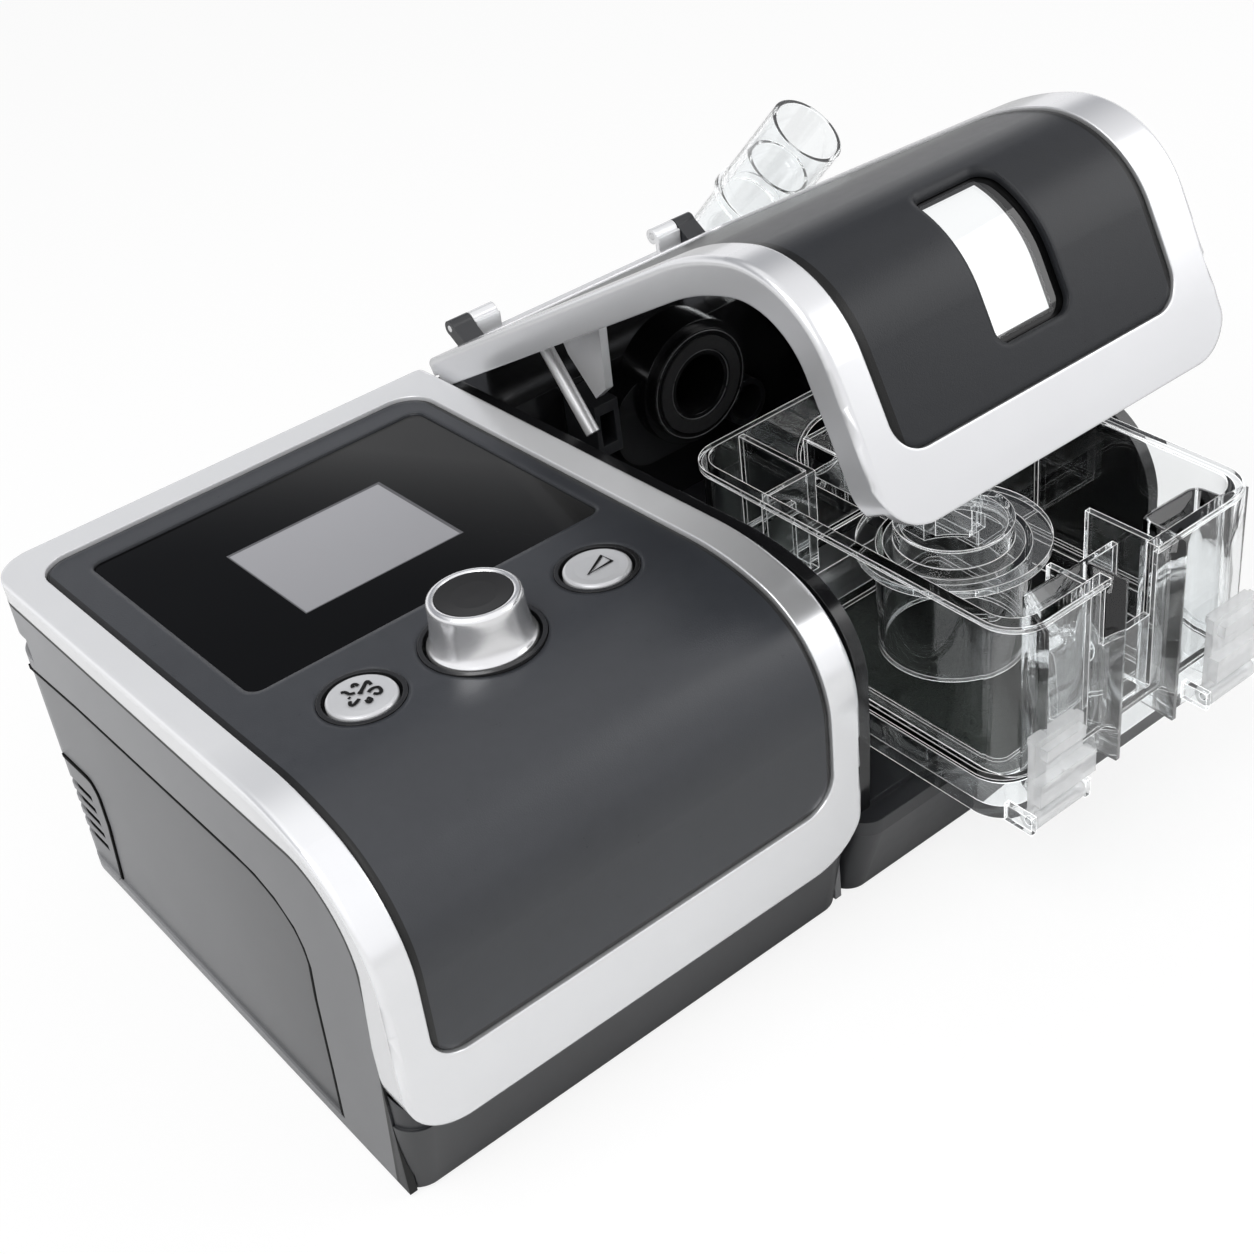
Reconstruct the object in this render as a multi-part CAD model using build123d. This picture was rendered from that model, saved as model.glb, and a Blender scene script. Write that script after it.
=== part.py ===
from build123d import *
import math
import os

# Bilevel pap machine: a flow generator on the left, joined to a heated humidifier on the right.
# Millimetres. X runs to the right, Y to the back, Z up. While it is drawn, the corner where the flow
# generator's front, left side and floor meet is zero. At the end everything moves so that the origin
# lies under the middle of the whole product, where it stands.

# Overall sizes of the two units
MAIN_WIDTH = 160.0
UNIT_GAP = 1.0
HUMIDIFIER_WIDTH = 137.5
CASE_DEPTH = 195.2
HUM_LEFT = MAIN_WIDTH + UNIT_GAP
HUM_RIGHT = HUM_LEFT + HUMIDIFIER_WIDTH

# Side outline of both units, from the back of the top to the foot of the silver trim
CREST_Y = 43.7
CREST_Z = 119.4
TOP_SLOPE = 0.0422
SHOULDER_R = 94.0
SHOULDER_TURN = 18.0
NOSE_R = 35.7
FRONT_R = 689.0
TRIM_FOOT_Z = 27.8

# Limits that lie well clear of the product, for solids that only cut or keep
ABOVE = CREST_Z + 20.0
BEHIND = CASE_DEPTH + 45.0
BESIDE = HUM_RIGHT + 45.0

# Trim, panel and skins
TRIM_T = 3.2
SKIN_T = 2.2
SKIN_GAP = 0.1
PANEL_DROP = 1.2
PANEL_GAP = 0.6
TRIM_EDGE_LEFT = 10.3
TRIM_EDGE_RIGHT = 11.2
TRIM_EDGE_BACK = 11.2
TRIM_OPENING_Z = 52.0
TRIM_OPENING_R = 11.0
TRIM_CORNER_R = 19.0
TRIM_SHOULDER_R = 2.0
LEFT_CORNER_R = 14.0
RIGHT_CORNER_R = 4.0

# Side walls of the flow generator
WALL = 2.4
WALL_GAP = 0.2
SIDE_TOP_BACK_Z = CREST_Z - 12.4
SIDE_TOP_FRONT_Z = CREST_Z - 8.3
SIDE_NOSE_R = 25.0
SIDE_NOSE_Y = 23.0
SIDE_FRONT_Y = 1.2
SIDE_FRONT_Z = 58.0
SIDE_SPLIT = 16.0
SIDE_RECESS = 1.2
BASE_FRONT_TOP = 56.0
BASE_CORNER_R = 8.0
BASE_WALL = 2.6
FLOOR_T = 2.5
FLOOR_RIM = 6.0
FOOT_T = 1.2
FOOT_R = 7.0
FOOT_STUD_R = 2.5
FOOT_INSET = 20.0

# Filter cover, inlet and card slot at the left rear
COVER_FRONT_Y = CASE_DEPTH - 32.2
COVER_TOP_Z = 46.4
COVER_LOW_Z = 3.0
COVER_GAP = 0.25
LOUVRE_COUNT = 5
LOUVRE_PITCH = 5.2
LOUVRE_SLOT = 2.6
LOUVRE_LOW_Z = 13.0
LOUVRE_FRONT_Y = CASE_DEPTH - 23.0
FILTER_T = 6.0
FILTER_FIT = 0.2
FILTER_BOX_X = 4.6
FILTER_BOX_DEPTH = 28.0
FILTER_BOX_BACK = CASE_DEPTH - 7.8
CARD_W = 24.0
CARD_L = 27.5
CARD_T = 2.1
CARD_X = 8.0
CARD_Z = CREST_Z - 29.0
CARD_END_Y = CASE_DEPTH - 4.6
CARD_FIT = 0.15
NOTCH_LOW_Z = CARD_Z - 3.1
NOTCH_TOP_Z = CARD_Z + 5.2
NOTCH_FRONT_Y = CASE_DEPTH - 16.7

# Display
GLASS_X0 = 23.5
GLASS_X1 = MAIN_WIDTH - 18.1
GLASS_Y0 = 75.7
GLASS_Y1 = CASE_DEPTH - 22.2
GLASS_R = 4.0
GLASS_DROP = 2.0
GLASS_GAP = 0.3
SCREEN_X0 = 54.5
SCREEN_X1 = 109.0
SCREEN_Y0 = 99.0
SCREEN_Y1 = 145.0
SCREEN_MARGIN = 4.0
SCREEN_T = 4.5

# Knob and buttons
KNOB_X = MAIN_WIDTH / 2 + 0.4
KNOB_Y = 49.4
KNOB_R = 15.4
KNOB_WAIST_R = 12.5
KNOB_RIM_R = 13.1
KNOB_TOP = 13.2
KNOB_CAP_R = 10.6
KNOB_CAP_SINK = 1.6
KNOB_BOTTOM = -4.6
KNOB_WELL_R = 17.75
WELL_WALL = 1.3
WELL_FIT = 0.2
KNOB_WELL_FLOOR = -5.7
SHAFT_R = 3.0
RUN_FIT = 0.05
BUSHING_R = 4.5
ENCODER_SIDE = 12.0
BUTTON_X_LEFT = KNOB_X - 37.3
BUTTON_X_RIGHT = KNOB_X + 41.3
BUTTON_Y = 51.8
BUTTON_R = 9.85
BUTTON_T = 2.8
BUTTON_PROUD = 0.6
BUTTON_STEM_R = 2.5
BUTTON_WELL_R = 12.2
BUTTON_TRAVEL = 0.6
SWITCH_SIDE = 6.0

# Boards, blower and air path inside the flow generator
BOARD_TOP_Z = CREST_Z - 21.4
BOARD_T = 1.6
BOSS_R = 3.0
POST_R = 4.0
BLOWER_LEFT_X = 16.0
BLOWER_R = (MAIN_WIDTH - 68.0) / 2
BLOWER_X = BLOWER_LEFT_X + BLOWER_R
BLOWER_Y = CASE_DEPTH - 77.2
BLOWER_WALL = 2.0
BLOWER_LOW_Z = 12.0
BLOWER_TOP_Z = 52.0
INTAKE_R = 15.0
IMPELLER_R = BLOWER_R - 12.0
IMPELLER_LOW_Z = 34.0
IMPELLER_TOP_Z = 46.0
VANE_COUNT = 11
MOTOR_R = 18.0
MOTOR_TOP_Z = 31.0
MOTOR_SHAFT_R = 1.5
OUTLET_HIGH = 24.0
OUTLET_DEEP = 20.0
OUTLET_LOW_Z = 20.0
PLENUM_X0 = MAIN_WIDTH - 47.6
PLENUM_LOW_Z = 18.0
PLENUM_TOP_Z = 76.0
DOCK_Y = CASE_DEPTH - 14.2
DOCK_Z = 60.0
DOCK_R = 10.0
DOCK_BORE_R = 8.0
DOCK_REACH = 12.0
DOCK_FIT = 0.4
INLET_X = 60.0
INLET_Z = 14.0
INLET_R = 3.2
INLET_PIN_R = 1.0

# Humidifier case
HB_TOP = 33.2
HB_DECK = 35.4
HB_WALL = 2.5
HB_BACK = CASE_DEPTH + 3.3
HB_CORNER_R = 7.0
SIDE_OUT = 4.0
SIDE_IN = 4.0
SIDE_LOW_INSET = 10.9
SIDE_HIGH_INSET = 6.4
SEAM = 0.2
BULKHEAD_Y = CASE_DEPTH - 27.2
BULKHEAD_T = 2.5
REAR_WALL_T = 2.5
REAR_TOP_Z = CREST_Z - 7.4
REAR_DECK_Z = CREST_Z - 21.4
RETURN_X = HUM_RIGHT - 26.5
PORT_X = RETURN_X - 30.0
PORT_Z = CREST_Z - 32.4
PORT_DRUM_R = 23.0
PORT_RING_R = 20.5
PORT_R = 11.0
PORT_FRONT_Y = BULKHEAD_Y - 17.6
PORT_DRUM_Y = BULKHEAD_Y - 15.0
RETURN_Z = 62.3
RETURN_R = 7.0
HEATER_X0 = HUM_LEFT + 41.0
HEATER_X1 = HUM_RIGHT - 28.5
HEATER_Y0 = 28.0
HEATER_Y1 = BULKHEAD_Y - 40.0
HEATER_TOP = 37.2
HEATER_T = 3.0
HEATER_FIT = 0.5
HINGE_Y = CASE_DEPTH + 5.3
HINGE_Z = CREST_Z - 0.4
RAIL_R = 2.8
RAIL_H = 2.0
BARREL_L = 10.0
PIN_R = 1.2
ARM_W = 8.0
ARM_X_LEFT = HUM_LEFT + 15.0
ARM_X_RIGHT = HUM_RIGHT - 22.5
ARM_SIDE_GAP = 0.4

# Lid
LID_ANGLE = 27.56
LID_FOOT_Z = 33.7
LID_SKIRT = 10.5
LID_SKIRT_T = 2.6
LID_OPEN_X0 = HUM_LEFT + 11.0
LID_OPEN_X1 = HUM_RIGHT - 15.0
LID_OPENING_Z = 52.3
LID_OPENING_R = 10.0
LID_CORNER_R = 16.0
LID_PANEL_DROP = 1.0
LID_PANEL_T = 2.4
LID_LINER_T = 2.0
LID_SKIN_GAP = 0.2
WINDOW_X0 = HUM_LEFT + 55.0
WINDOW_X1 = HUM_RIGHT - 53.5
WINDOW_LOW_Z = 65.5
WINDOW_TOP_Y = 5.0
WINDOW_LIP = 4.5
WINDOW_R = 5.0
STAY_BACK_Y = BULKHEAD_Y - 15.7
STAY_X = HUM_LEFT + 19.0
STAY_T = 3.0
CUT_X = HUM_RIGHT - 12.5
CUT_Y = CASE_DEPTH - 23.2
CUT_START_Y = CASE_DEPTH - 47.2

# Water chamber, drawn pulled out as far as it stands
CH_X0 = HUM_LEFT + 25.4
CH_X1 = HUM_RIGHT - 12.1
CH_FRONT = -44.0
CH_TRAVEL = 58.0
CH_BACK = PORT_FRONT_Y - CH_TRAVEL - 1.8
CH_RIM_Z = CREST_Z - 11.4
CH_WALL = 2.2
CH_CORNER_R = 12.0
CH_SPLIT_Z = 51.4
CH_FLOOR_Z = 41.0
TRAY_OUT = 1.6
TRAY_LOW_Z = 38.0
TRAY_FRONT = -42.0
PLATE_T = 1.2
PASSAGE_X = CH_X0 + 0.4 * (CH_X1 - CH_X0) - 2.4
PASSAGE_Y = 14.0
PASSAGE_R = 23.0
LATCH_W = 20.0
LATCH_X_LEFT = CH_X0 + 0.6
LATCH_X_RIGHT = CH_X1 - 21.4
LATCH_Z0 = 39.6
LATCH_Z1 = 72.0
LATCH_T = 2.6
LATCH_PIN_R = 1.2
LATCH_PIN_Z = 44.0
LATCH_PIN_Y = -48.6

# Clear outlet elbow
ELBOW_X = HUM_RIGHT - 13.9
ELBOW_Y = CASE_DEPTH + 3.6
ELBOW_Z = 62.3
ELBOW_BEND_R = 18.0
ELBOW_TURN = 125.2
ELBOW_LEAN = 18.13
ELBOW_R = 13.0
ELBOW_BORE_R = 11.0
ELBOW_RUN = 42.8
SLEEVE_R = 14.15
SLEEVE_BORE_R = 12.6
SLEEVE_L = 37.0
SLEEVE_STEP = 18.5
SOCKET_R = 10.9

SLOPE_LEN = math.hypot(1.0, TOP_SLOPE)
NOSE_TURN = 90.0 + math.degrees(math.atan(TOP_SLOPE)) - SHOULDER_TURN
LIFT = (0.0, TOP_SLOPE / SLOPE_LEN, 1.0 / SLOPE_LEN)

parts = {}


# Simple solids
def block(x0, x1, y0, y1, z0, z1):
    return Pos((x0 + x1) / 2, (y0 + y1) / 2, (z0 + z1) / 2) * Box(x1 - x0, y1 - y0, z1 - z0)


def rod_x(x0, x1, y, z, r):
    return Pos((x0 + x1) / 2, y, z) * Rot(0, 90, 0) * Cylinder(r, x1 - x0)


def rod_y(x, y0, y1, z, r):
    return Pos(x, (y0 + y1) / 2, z) * Rot(90, 0, 0) * Cylinder(r, y1 - y0)


def rod_z(x, y, z0, z1, r):
    return Pos(x, y, (z0 + z1) / 2) * Cylinder(r, z1 - z0)


def rounded(x0, y0, x1, y1, radii):
    shape = Pos((x0 + x1) / 2, (y0 + y1) / 2) * Rectangle(x1 - x0, y1 - y0)
    spots = ((x0, y0), (x1, y0), (x1, y1), (x0, y1))
    for spot, radius in zip(spots, radii):
        if radius > 0:
            corner = shape.vertices().sort_by_distance((spot[0], spot[1], 0))[0]
            shape = fillet(corner, radius)
    return shape


def slab_x(face, x0, x1):
    return extrude(Plane(origin=(x0, 0, 0), x_dir=(0, 1, 0), z_dir=(1, 0, 0)) * face, x1 - x0)


def slab_y(face, y0, y1):
    return extrude(Plane(origin=(0, y0, 0), x_dir=(1, 0, 0), z_dir=(0, -1, 0)) * face, -(y1 - y0))


def slab_z(face, z0, z1):
    return extrude(Plane.XY.offset(z0) * face, z1 - z0)


# Side outline, drawn with Y across and Z up, moved inwards by an inset
def outline(inset, low=-5.0, back=CASE_DEPTH, sole=None):
    crest = (CREST_Y - inset * TOP_SLOPE / SLOPE_LEN, CREST_Z - inset / SLOPE_LEN)
    top_back = (back, crest[1] - TOP_SLOPE * (back - crest[0]))
    shoulder = JernArc(crest, (-1, TOP_SLOPE), SHOULDER_R - inset, SHOULDER_TURN)
    nose = JernArc(shoulder @ 1, shoulder % 1, NOSE_R - inset, NOSE_TURN)
    nose_z = (nose @ 1).Y
    foot_turn = math.degrees(math.asin((nose_z - TRIM_FOOT_Z) / FRONT_R))
    front = JernArc(nose @ 1, nose % 1, FRONT_R - inset, foot_turn)
    foot = front @ 1
    heel = inset if sole is None else sole
    lean = (heel - foot.X) / foot.Y
    bottom = (foot.X + lean * (foot.Y - low), low)
    edges = [
        Line(top_back, crest),
        shoulder,
        nose,
        front,
        Line((foot.X, foot.Y), bottom),
        Line(bottom, (back, low)),
        Line((back, low), top_back),
    ]
    return make_face(edges)


def top_z(y, inset=0.0):
    return CREST_Z - TOP_SLOPE * (y - CREST_Y) - inset * SLOPE_LEN


def skin(outer, inner, x0, x1, low, back=CASE_DEPTH):
    shell = slab_x(outline(outer, low, back), x0, x1)
    return shell - slab_x(outline(inner, low - 5, back + 5), x0 - 5, x1 + 5)


# Opening or panel that runs from the flat top round the nose and down the front
def wrap(x0, x1, low_z, back_y, radius, reach=60.0):
    front = slab_y(rounded(x0, low_z, x1, 96.0, (radius, radius, 0, 0)), -reach, 40.0)
    top = slab_z(rounded(x0, -reach, x1, back_y, (0, 0, radius, radius)), 78.0, 78.0 + reach)
    return front + top


def seat(x, y):
    z = top_z(y)
    return Plane(origin=(x, y, z), x_dir=(1, 0, 0), z_dir=LIFT)


def turned(points, x, y):
    profile = make_face(Polyline(*points, close=True))
    body = revolve(Plane.XZ * profile, Axis.Z)
    return seat(x, y) * body


def drum(x, y, low, high, r):
    return seat(x, y) * (Pos(0, 0, (low + high) / 2) * Cylinder(r, high - low))


# Flow generator, outer case
def side_face(low=0.0, back=CASE_DEPTH):
    slope = (SIDE_TOP_FRONT_Z - SIDE_TOP_BACK_Z) / (CASE_DEPTH - SIDE_NOSE_Y)
    top_back = (back, SIDE_TOP_BACK_Z - slope * (back - CASE_DEPTH))
    top_front = (SIDE_NOSE_Y, SIDE_TOP_FRONT_Z)
    turn = 90.0 + math.degrees(math.atan(slope))
    nose = JernArc(top_front, (-1, slope), SIDE_NOSE_R, turn)
    end = nose @ 1
    edges = [
        Line(top_back, top_front),
        nose,
        Line((end.X, end.Y), (SIDE_FRONT_Y, SIDE_FRONT_Z)),
        Line((SIDE_FRONT_Y, SIDE_FRONT_Z), (SIDE_FRONT_Y, low)),
        Line((SIDE_FRONT_Y, low), (back, low)),
        Line((back, low), top_back),
    ]
    return make_face(edges)


case_plan = rounded(0, -60, MAIN_WIDTH, CASE_DEPTH, (0, 0, RIGHT_CORNER_R, LEFT_CORNER_R))
inner_plan = rounded(
    WALL, -60, MAIN_WIDTH - WALL, CASE_DEPTH - WALL, (0, 0, RIGHT_CORNER_R - WALL, LEFT_CORNER_R - WALL)
)
case_ring = slab_z(case_plan, -1, ABOVE) - slab_z(inner_plan, -2, ABOVE + 1)
walls = slab_x(side_face(), 0, MAIN_WIDTH) & case_ring
cover_face = make_face(
    Polyline(
        (CASE_DEPTH + 3, COVER_LOW_Z),
        (COVER_FRONT_Y + 5.5, COVER_LOW_Z),
        (COVER_FRONT_Y + 0.2, COVER_LOW_Z + 27),
        (COVER_FRONT_Y, COVER_TOP_Z - 5.4),
        (COVER_FRONT_Y + 4, COVER_TOP_Z),
        (CASE_DEPTH + 3, COVER_TOP_Z - 0.8),
        close=True,
    )
)
recess_face = make_face(
    Polyline(
        (CASE_DEPTH - 7.2, 82.5),
        (CASE_DEPTH - 43.2, 85.0),
        (102.0, 86.6),
        (57.0, 88.0),
        (46.7, 87.7),
        (37.6, 85.4),
        (29.8, 80.2),
        (27.0, 74.7),
        (26.1, 68.2),
        (28.2, 54.6),
        (30.7, 24.3),
        (32.6, 4.0),
        (CASE_DEPTH - 7.2, 4.0),
        close=True,
    )
)
cover_hole = slab_x(cover_face, -1, SIDE_SPLIT + 1)
left_wall = walls & block(-1, SIDE_SPLIT, -20, BEHIND, -1, ABOVE)
left_wall -= slab_x(recess_face, -1, SIDE_RECESS)
cover = left_wall & slab_x(offset(cover_face, -COVER_GAP), -1, SIDE_SPLIT - COVER_GAP)
for i in range(LOUVRE_COUNT):
    slot_z = LOUVRE_LOW_Z + i * LOUVRE_PITCH
    cover -= block(-1, 11, LOUVRE_FRONT_Y, BEHIND, slot_z, slot_z + LOUVRE_SLOT)
parts["filter_cover"] = cover
left_wall -= cover_hole
left_wall -= block(-1, SIDE_SPLIT + 1, NOTCH_FRONT_Y, BEHIND, NOTCH_LOW_Z, NOTCH_TOP_Z)
parts["left_side_shell"] = left_wall
rear = walls & block(SIDE_SPLIT + WALL_GAP, MAIN_WIDTH - 10, CASE_DEPTH - 45.2, BEHIND, -1, ABOVE)
rear -= block(SIDE_SPLIT - 1, CARD_X + CARD_W + 1.5, CASE_DEPTH - 45.2, BEHIND, CARD_Z - 1, CARD_Z + CARD_T + 1)
rear -= rod_y(INLET_X, CASE_DEPTH - 45.2, BEHIND, INLET_Z, 8.2)
for i in range(7):
    rear -= block(90 + i * 6, 93 + i * 6, CASE_DEPTH - 45.2, BEHIND, 70, 90)
parts["rear_panel"] = rear
right_wall = walls & block(MAIN_WIDTH - 10 + WALL_GAP, MAIN_WIDTH + 1, -20, BEHIND, -1, ABOVE)
right_wall -= rod_x(MAIN_WIDTH - 10, MAIN_WIDTH + 5, DOCK_Y, DOCK_Z, DOCK_R + 0.3)
HOOK_YS = (60.0, 110.0)
HOOK_Z = 45.0
HOOK_H = 5.0
HOOK_D = 12.0
HOOK_REACH = 8.0
HOOK_FIT = 0.5
for y in HOOK_YS:
    right_wall -= block(
        MAIN_WIDTH - 10,
        MAIN_WIDTH + 5,
        y - HOOK_FIT,
        y + HOOK_D + HOOK_FIT,
        HOOK_Z - HOOK_FIT,
        HOOK_Z + HOOK_H + HOOK_FIT,
    )
parts["right_side_wall"] = right_wall

# Base of the flow generator: floor, low rim and the dark front under the trim
BASE_INSET = TRIM_T + SKIN_GAP
base_low = slab_x(outline(BASE_INSET, 0, CASE_DEPTH, 0.0), 0, MAIN_WIDTH)
cut_z = TRIM_FOOT_Z + 0.3
lower = base_low & block(-5, MAIN_WIDTH + 5, -20, BEHIND, 0, cut_z)
STEP_IN = 0.6
upper = slab_x(outline(BASE_INSET + STEP_IN, 0, CASE_DEPTH, 0.0), STEP_IN, MAIN_WIDTH - STEP_IN)
upper &= block(-5, MAIN_WIDTH + 5, -20, BEHIND, cut_z - 1, BASE_FRONT_TOP)


def front_corners(solid, x0, x1, y_limit):
    picked = []
    for edge in solid.edges():
        box = edge.bounding_box()
        flat = abs(box.min.X - box.max.X) < 1e-4
        at_side = min(abs(box.min.X - x0), abs(box.min.X - x1)) < 1e-4
        if flat and at_side and box.max.Y < y_limit and box.max.Z - box.min.Z > 3:
            picked.append(edge)
    return picked


lower = fillet(front_corners(lower, 0, MAIN_WIDTH, 5), BASE_CORNER_R)
upper = fillet(front_corners(upper, STEP_IN, MAIN_WIDTH - STEP_IN, 5), BASE_CORNER_R)
base = lower + upper
hollow = slab_x(
    outline(BASE_INSET + STEP_IN + BASE_WALL, FLOOR_T, BEHIND, BASE_WALL + 0.1),
    BASE_CORNER_R,
    MAIN_WIDTH - BASE_CORNER_R,
)
base -= hollow & block(-5, MAIN_WIDTH + 5, -20, BEHIND, FLOOR_T, ABOVE)
base -= block(BASE_WALL + 2, MAIN_WIDTH - BASE_WALL - 2, 8, CASE_DEPTH - 4.6, FLOOR_T, ABOVE)
base -= block(-5, MAIN_WIDTH + 5, 6, BEHIND, FLOOR_T + FLOOR_RIM, ABOVE)
base &= slab_z(case_plan, -1, ABOVE + 1)
base -= block(-5, WALL + WALL_GAP, SIDE_FRONT_Y - WALL_GAP, BEHIND, -5, ABOVE)
base -= block(MAIN_WIDTH - WALL - WALL_GAP, MAIN_WIDTH + 5, SIDE_FRONT_Y - WALL_GAP, BEHIND, -5, ABOVE)
base -= (slab_z(case_plan, -2, ABOVE + 1) - slab_z(offset(inner_plan, -WALL_GAP), -3, ABOVE + 2)) & block(
    -5, MAIN_WIDTH + 5, 20, BEHIND, -5, ABOVE
)
POST_IN = 9.2
POST_BACK_Y = BLOWER_Y + BLOWER_R - OUTLET_DEEP - 10.0
POSTS = ((POST_IN, 30.0), (MAIN_WIDTH - POST_IN, 30.0), (POST_IN, POST_BACK_Y), (MAIN_WIDTH - POST_IN, POST_BACK_Y))
FEET = (
    (FOOT_INSET, FOOT_INSET),
    (MAIN_WIDTH - FOOT_INSET, FOOT_INSET),
    (FOOT_INSET, CASE_DEPTH - FOOT_INSET),
    (MAIN_WIDTH - FOOT_INSET, CASE_DEPTH - FOOT_INSET),
)
base += block(INLET_X - 8, INLET_X + 8, CASE_DEPTH - 13.2, CASE_DEPTH - 5.2, FLOOR_T - 0.5, INLET_Z - 7)
POWER_X0 = MAIN_WIDTH - 48.0
POWER_X1 = MAIN_WIDTH - 15.0
POWER_Y0 = 24.0
POWER_Y1 = BLOWER_Y + 8.0
POWER_Z = 8.0
for x in (POWER_X0 + 4, POWER_X1 - 4):
    for y in (POWER_Y0 + 4, POWER_Y1 - 4):
        base += rod_z(x, y, FLOOR_T - 0.5, POWER_Z, BOSS_R)
for x, y in FEET:
    base -= rod_z(x, y, -1, 1.6, FOOT_STUD_R + 0.1)

feet = None
for x, y in FEET:
    foot = rod_z(x, y, -FOOT_T, 0, FOOT_R) + rod_z(x, y, -0.5, 1.5, FOOT_STUD_R)
    feet = foot if feet is None else feet + foot
parts["main_feet"] = feet

# Silver trim, dark top panel and the case half that carries both
trim = slab_x(outline(0, 0, CASE_DEPTH), 0, MAIN_WIDTH)
shoulders = []
for edge in trim.edges():
    box = edge.bounding_box()
    flat = abs(box.min.X - box.max.X) < 1e-4
    if flat and box.max.Z > TRIM_FOOT_Z + 1 and box.min.Z > TRIM_FOOT_Z - 1 and box.min.Y < CASE_DEPTH - 1:
        shoulders.append(edge)
trim = fillet(shoulders, TRIM_SHOULDER_R)
trim &= slab_z(case_plan, 0, ABOVE)
trim &= slab_y(rounded(0, TRIM_FOOT_Z, MAIN_WIDTH, ABOVE, (TRIM_CORNER_R, TRIM_CORNER_R, 0, 0)), -60, 40) + block(
    -1, MAIN_WIDTH + 1, 30, BEHIND, 60, ABOVE
)
under = slab_x(outline(TRIM_T, -5, BEHIND), WALL, MAIN_WIDTH - WALL)
trim -= under & slab_z(inner_plan, -5, ABOVE)
trim -= slab_x(side_face(-5, BEHIND), -5, MAIN_WIDTH + 5)
trim -= wrap(TRIM_EDGE_LEFT, MAIN_WIDTH - TRIM_EDGE_RIGHT, TRIM_OPENING_Z, CASE_DEPTH - TRIM_EDGE_BACK, TRIM_OPENING_R)
parts["main_trim"] = trim
trim_sides = slab_y(
    rounded(-1, TRIM_FOOT_Z - 0.2, MAIN_WIDTH + 1, ABOVE, (TRIM_CORNER_R + 1, TRIM_CORNER_R + 1, 0, 0)), -60, 60
)
trim_sides &= block(-2, WALL + SKIN_GAP, -60, 60, 0, ABOVE) + block(
    MAIN_WIDTH - WALL - SKIN_GAP, MAIN_WIDTH + 2, -60, 60, 0, ABOVE
)
base -= trim_sides
parts["base_tub"] = base

panel = skin(PANEL_DROP, TRIM_T, 0, MAIN_WIDTH, 0)
panel &= wrap(
    TRIM_EDGE_LEFT + PANEL_GAP,
    MAIN_WIDTH - TRIM_EDGE_RIGHT - PANEL_GAP,
    TRIM_OPENING_Z + PANEL_GAP,
    CASE_DEPTH - TRIM_EDGE_BACK - PANEL_GAP,
    TRIM_OPENING_R - PANEL_GAP,
)
glass_plan = rounded(GLASS_X0, GLASS_Y0, GLASS_X1, GLASS_Y1, (GLASS_R,) * 4)
panel -= slab_z(offset(glass_plan, GLASS_GAP), 100, ABOVE)
panel -= drum(KNOB_X, KNOB_Y, -8, 4, KNOB_WELL_R + WELL_FIT)
for x in (BUTTON_X_LEFT, BUTTON_X_RIGHT):
    panel -= drum(x, BUTTON_Y, -8, 4, BUTTON_WELL_R + WELL_FIT)
parts["top_panel"] = panel

case_top = TRIM_T + SKIN_GAP
case_under = case_top + SKIN_T
SIDE_IN_X = WALL + WALL_GAP
upper_case = skin(case_top, case_under, SIDE_IN_X, MAIN_WIDTH - SIDE_IN_X, 0)
lip_depth = 16.0
lip = skin(case_top, lip_depth, SIDE_IN_X, MAIN_WIDTH - SIDE_IN_X, 0)
upper_case += lip & block(SIDE_IN_X, SIDE_IN_X + 2, 24, BEHIND, 80, ABOVE)
upper_case += lip & block(MAIN_WIDTH - SIDE_IN_X - 2, MAIN_WIDTH - SIDE_IN_X, 24, BEHIND, 80, ABOVE)
upper_case += lip & block(SIDE_IN_X, MAIN_WIDTH - SIDE_IN_X, CASE_DEPTH - WALL - 2.2, BEHIND, 80, ABOVE)
upper_case &= slab_z(offset(inner_plan, -WALL_GAP), 0, ABOVE) & block(
    -5, MAIN_WIDTH + 5, -20, BEHIND, BASE_FRONT_TOP + WALL_GAP, ABOVE
)
upper_case -= slab_z(rounded(SCREEN_X0 - 4.3, SCREEN_Y0 - 4.3, SCREEN_X1 + 4.3, SCREEN_Y1 + 4.3, (1,) * 4), 90, ABOVE)
BOSS_IN = 22.0
BOSS_BACK_Y = CASE_DEPTH - 19.2
BOSSES = ((BOSS_IN, 30.0), (MAIN_WIDTH - BOSS_IN, 30.0), (BOSS_IN, BOSS_BACK_Y), (MAIN_WIDTH - BOSS_IN, BOSS_BACK_Y))
for x, y in BOSSES:
    boss = rod_z(x, y, BOARD_TOP_Z, ABOVE, BOSS_R)
    upper_case += boss & slab_x(outline(case_top + 0.5, 0, CASE_DEPTH), 0, MAIN_WIDTH)
for x, y in POSTS:
    post = rod_z(x, y, FLOOR_T + SKIN_GAP, ABOVE, POST_R)
    upper_case += post & slab_x(outline(case_top + 0.5, 0, CASE_DEPTH), 0, MAIN_WIDTH)
upper_case -= drum(KNOB_X, KNOB_Y, -12, 4, KNOB_WELL_R + WELL_FIT)
for x in (BUTTON_X_LEFT, BUTTON_X_RIGHT):
    upper_case -= drum(x, BUTTON_Y, -12, 4, BUTTON_WELL_R + WELL_FIT)
parts["upper_case"] = upper_case

# Display
glass = skin(GLASS_DROP, TRIM_T + SKIN_GAP, 0, MAIN_WIDTH, 0) & slab_z(glass_plan, 90, ABOVE)
parts["display_glass"] = glass
screen_plan = rounded(
    SCREEN_X0 - SCREEN_MARGIN, SCREEN_Y0 - SCREEN_MARGIN, SCREEN_X1 + SCREEN_MARGIN, SCREEN_Y1 + SCREEN_MARGIN, (1,) * 4
)
module = skin(case_top + 0.05, case_top + SCREEN_T, 0, MAIN_WIDTH, 0) & slab_z(screen_plan, 90, ABOVE)
parts["display_module"] = module

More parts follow.
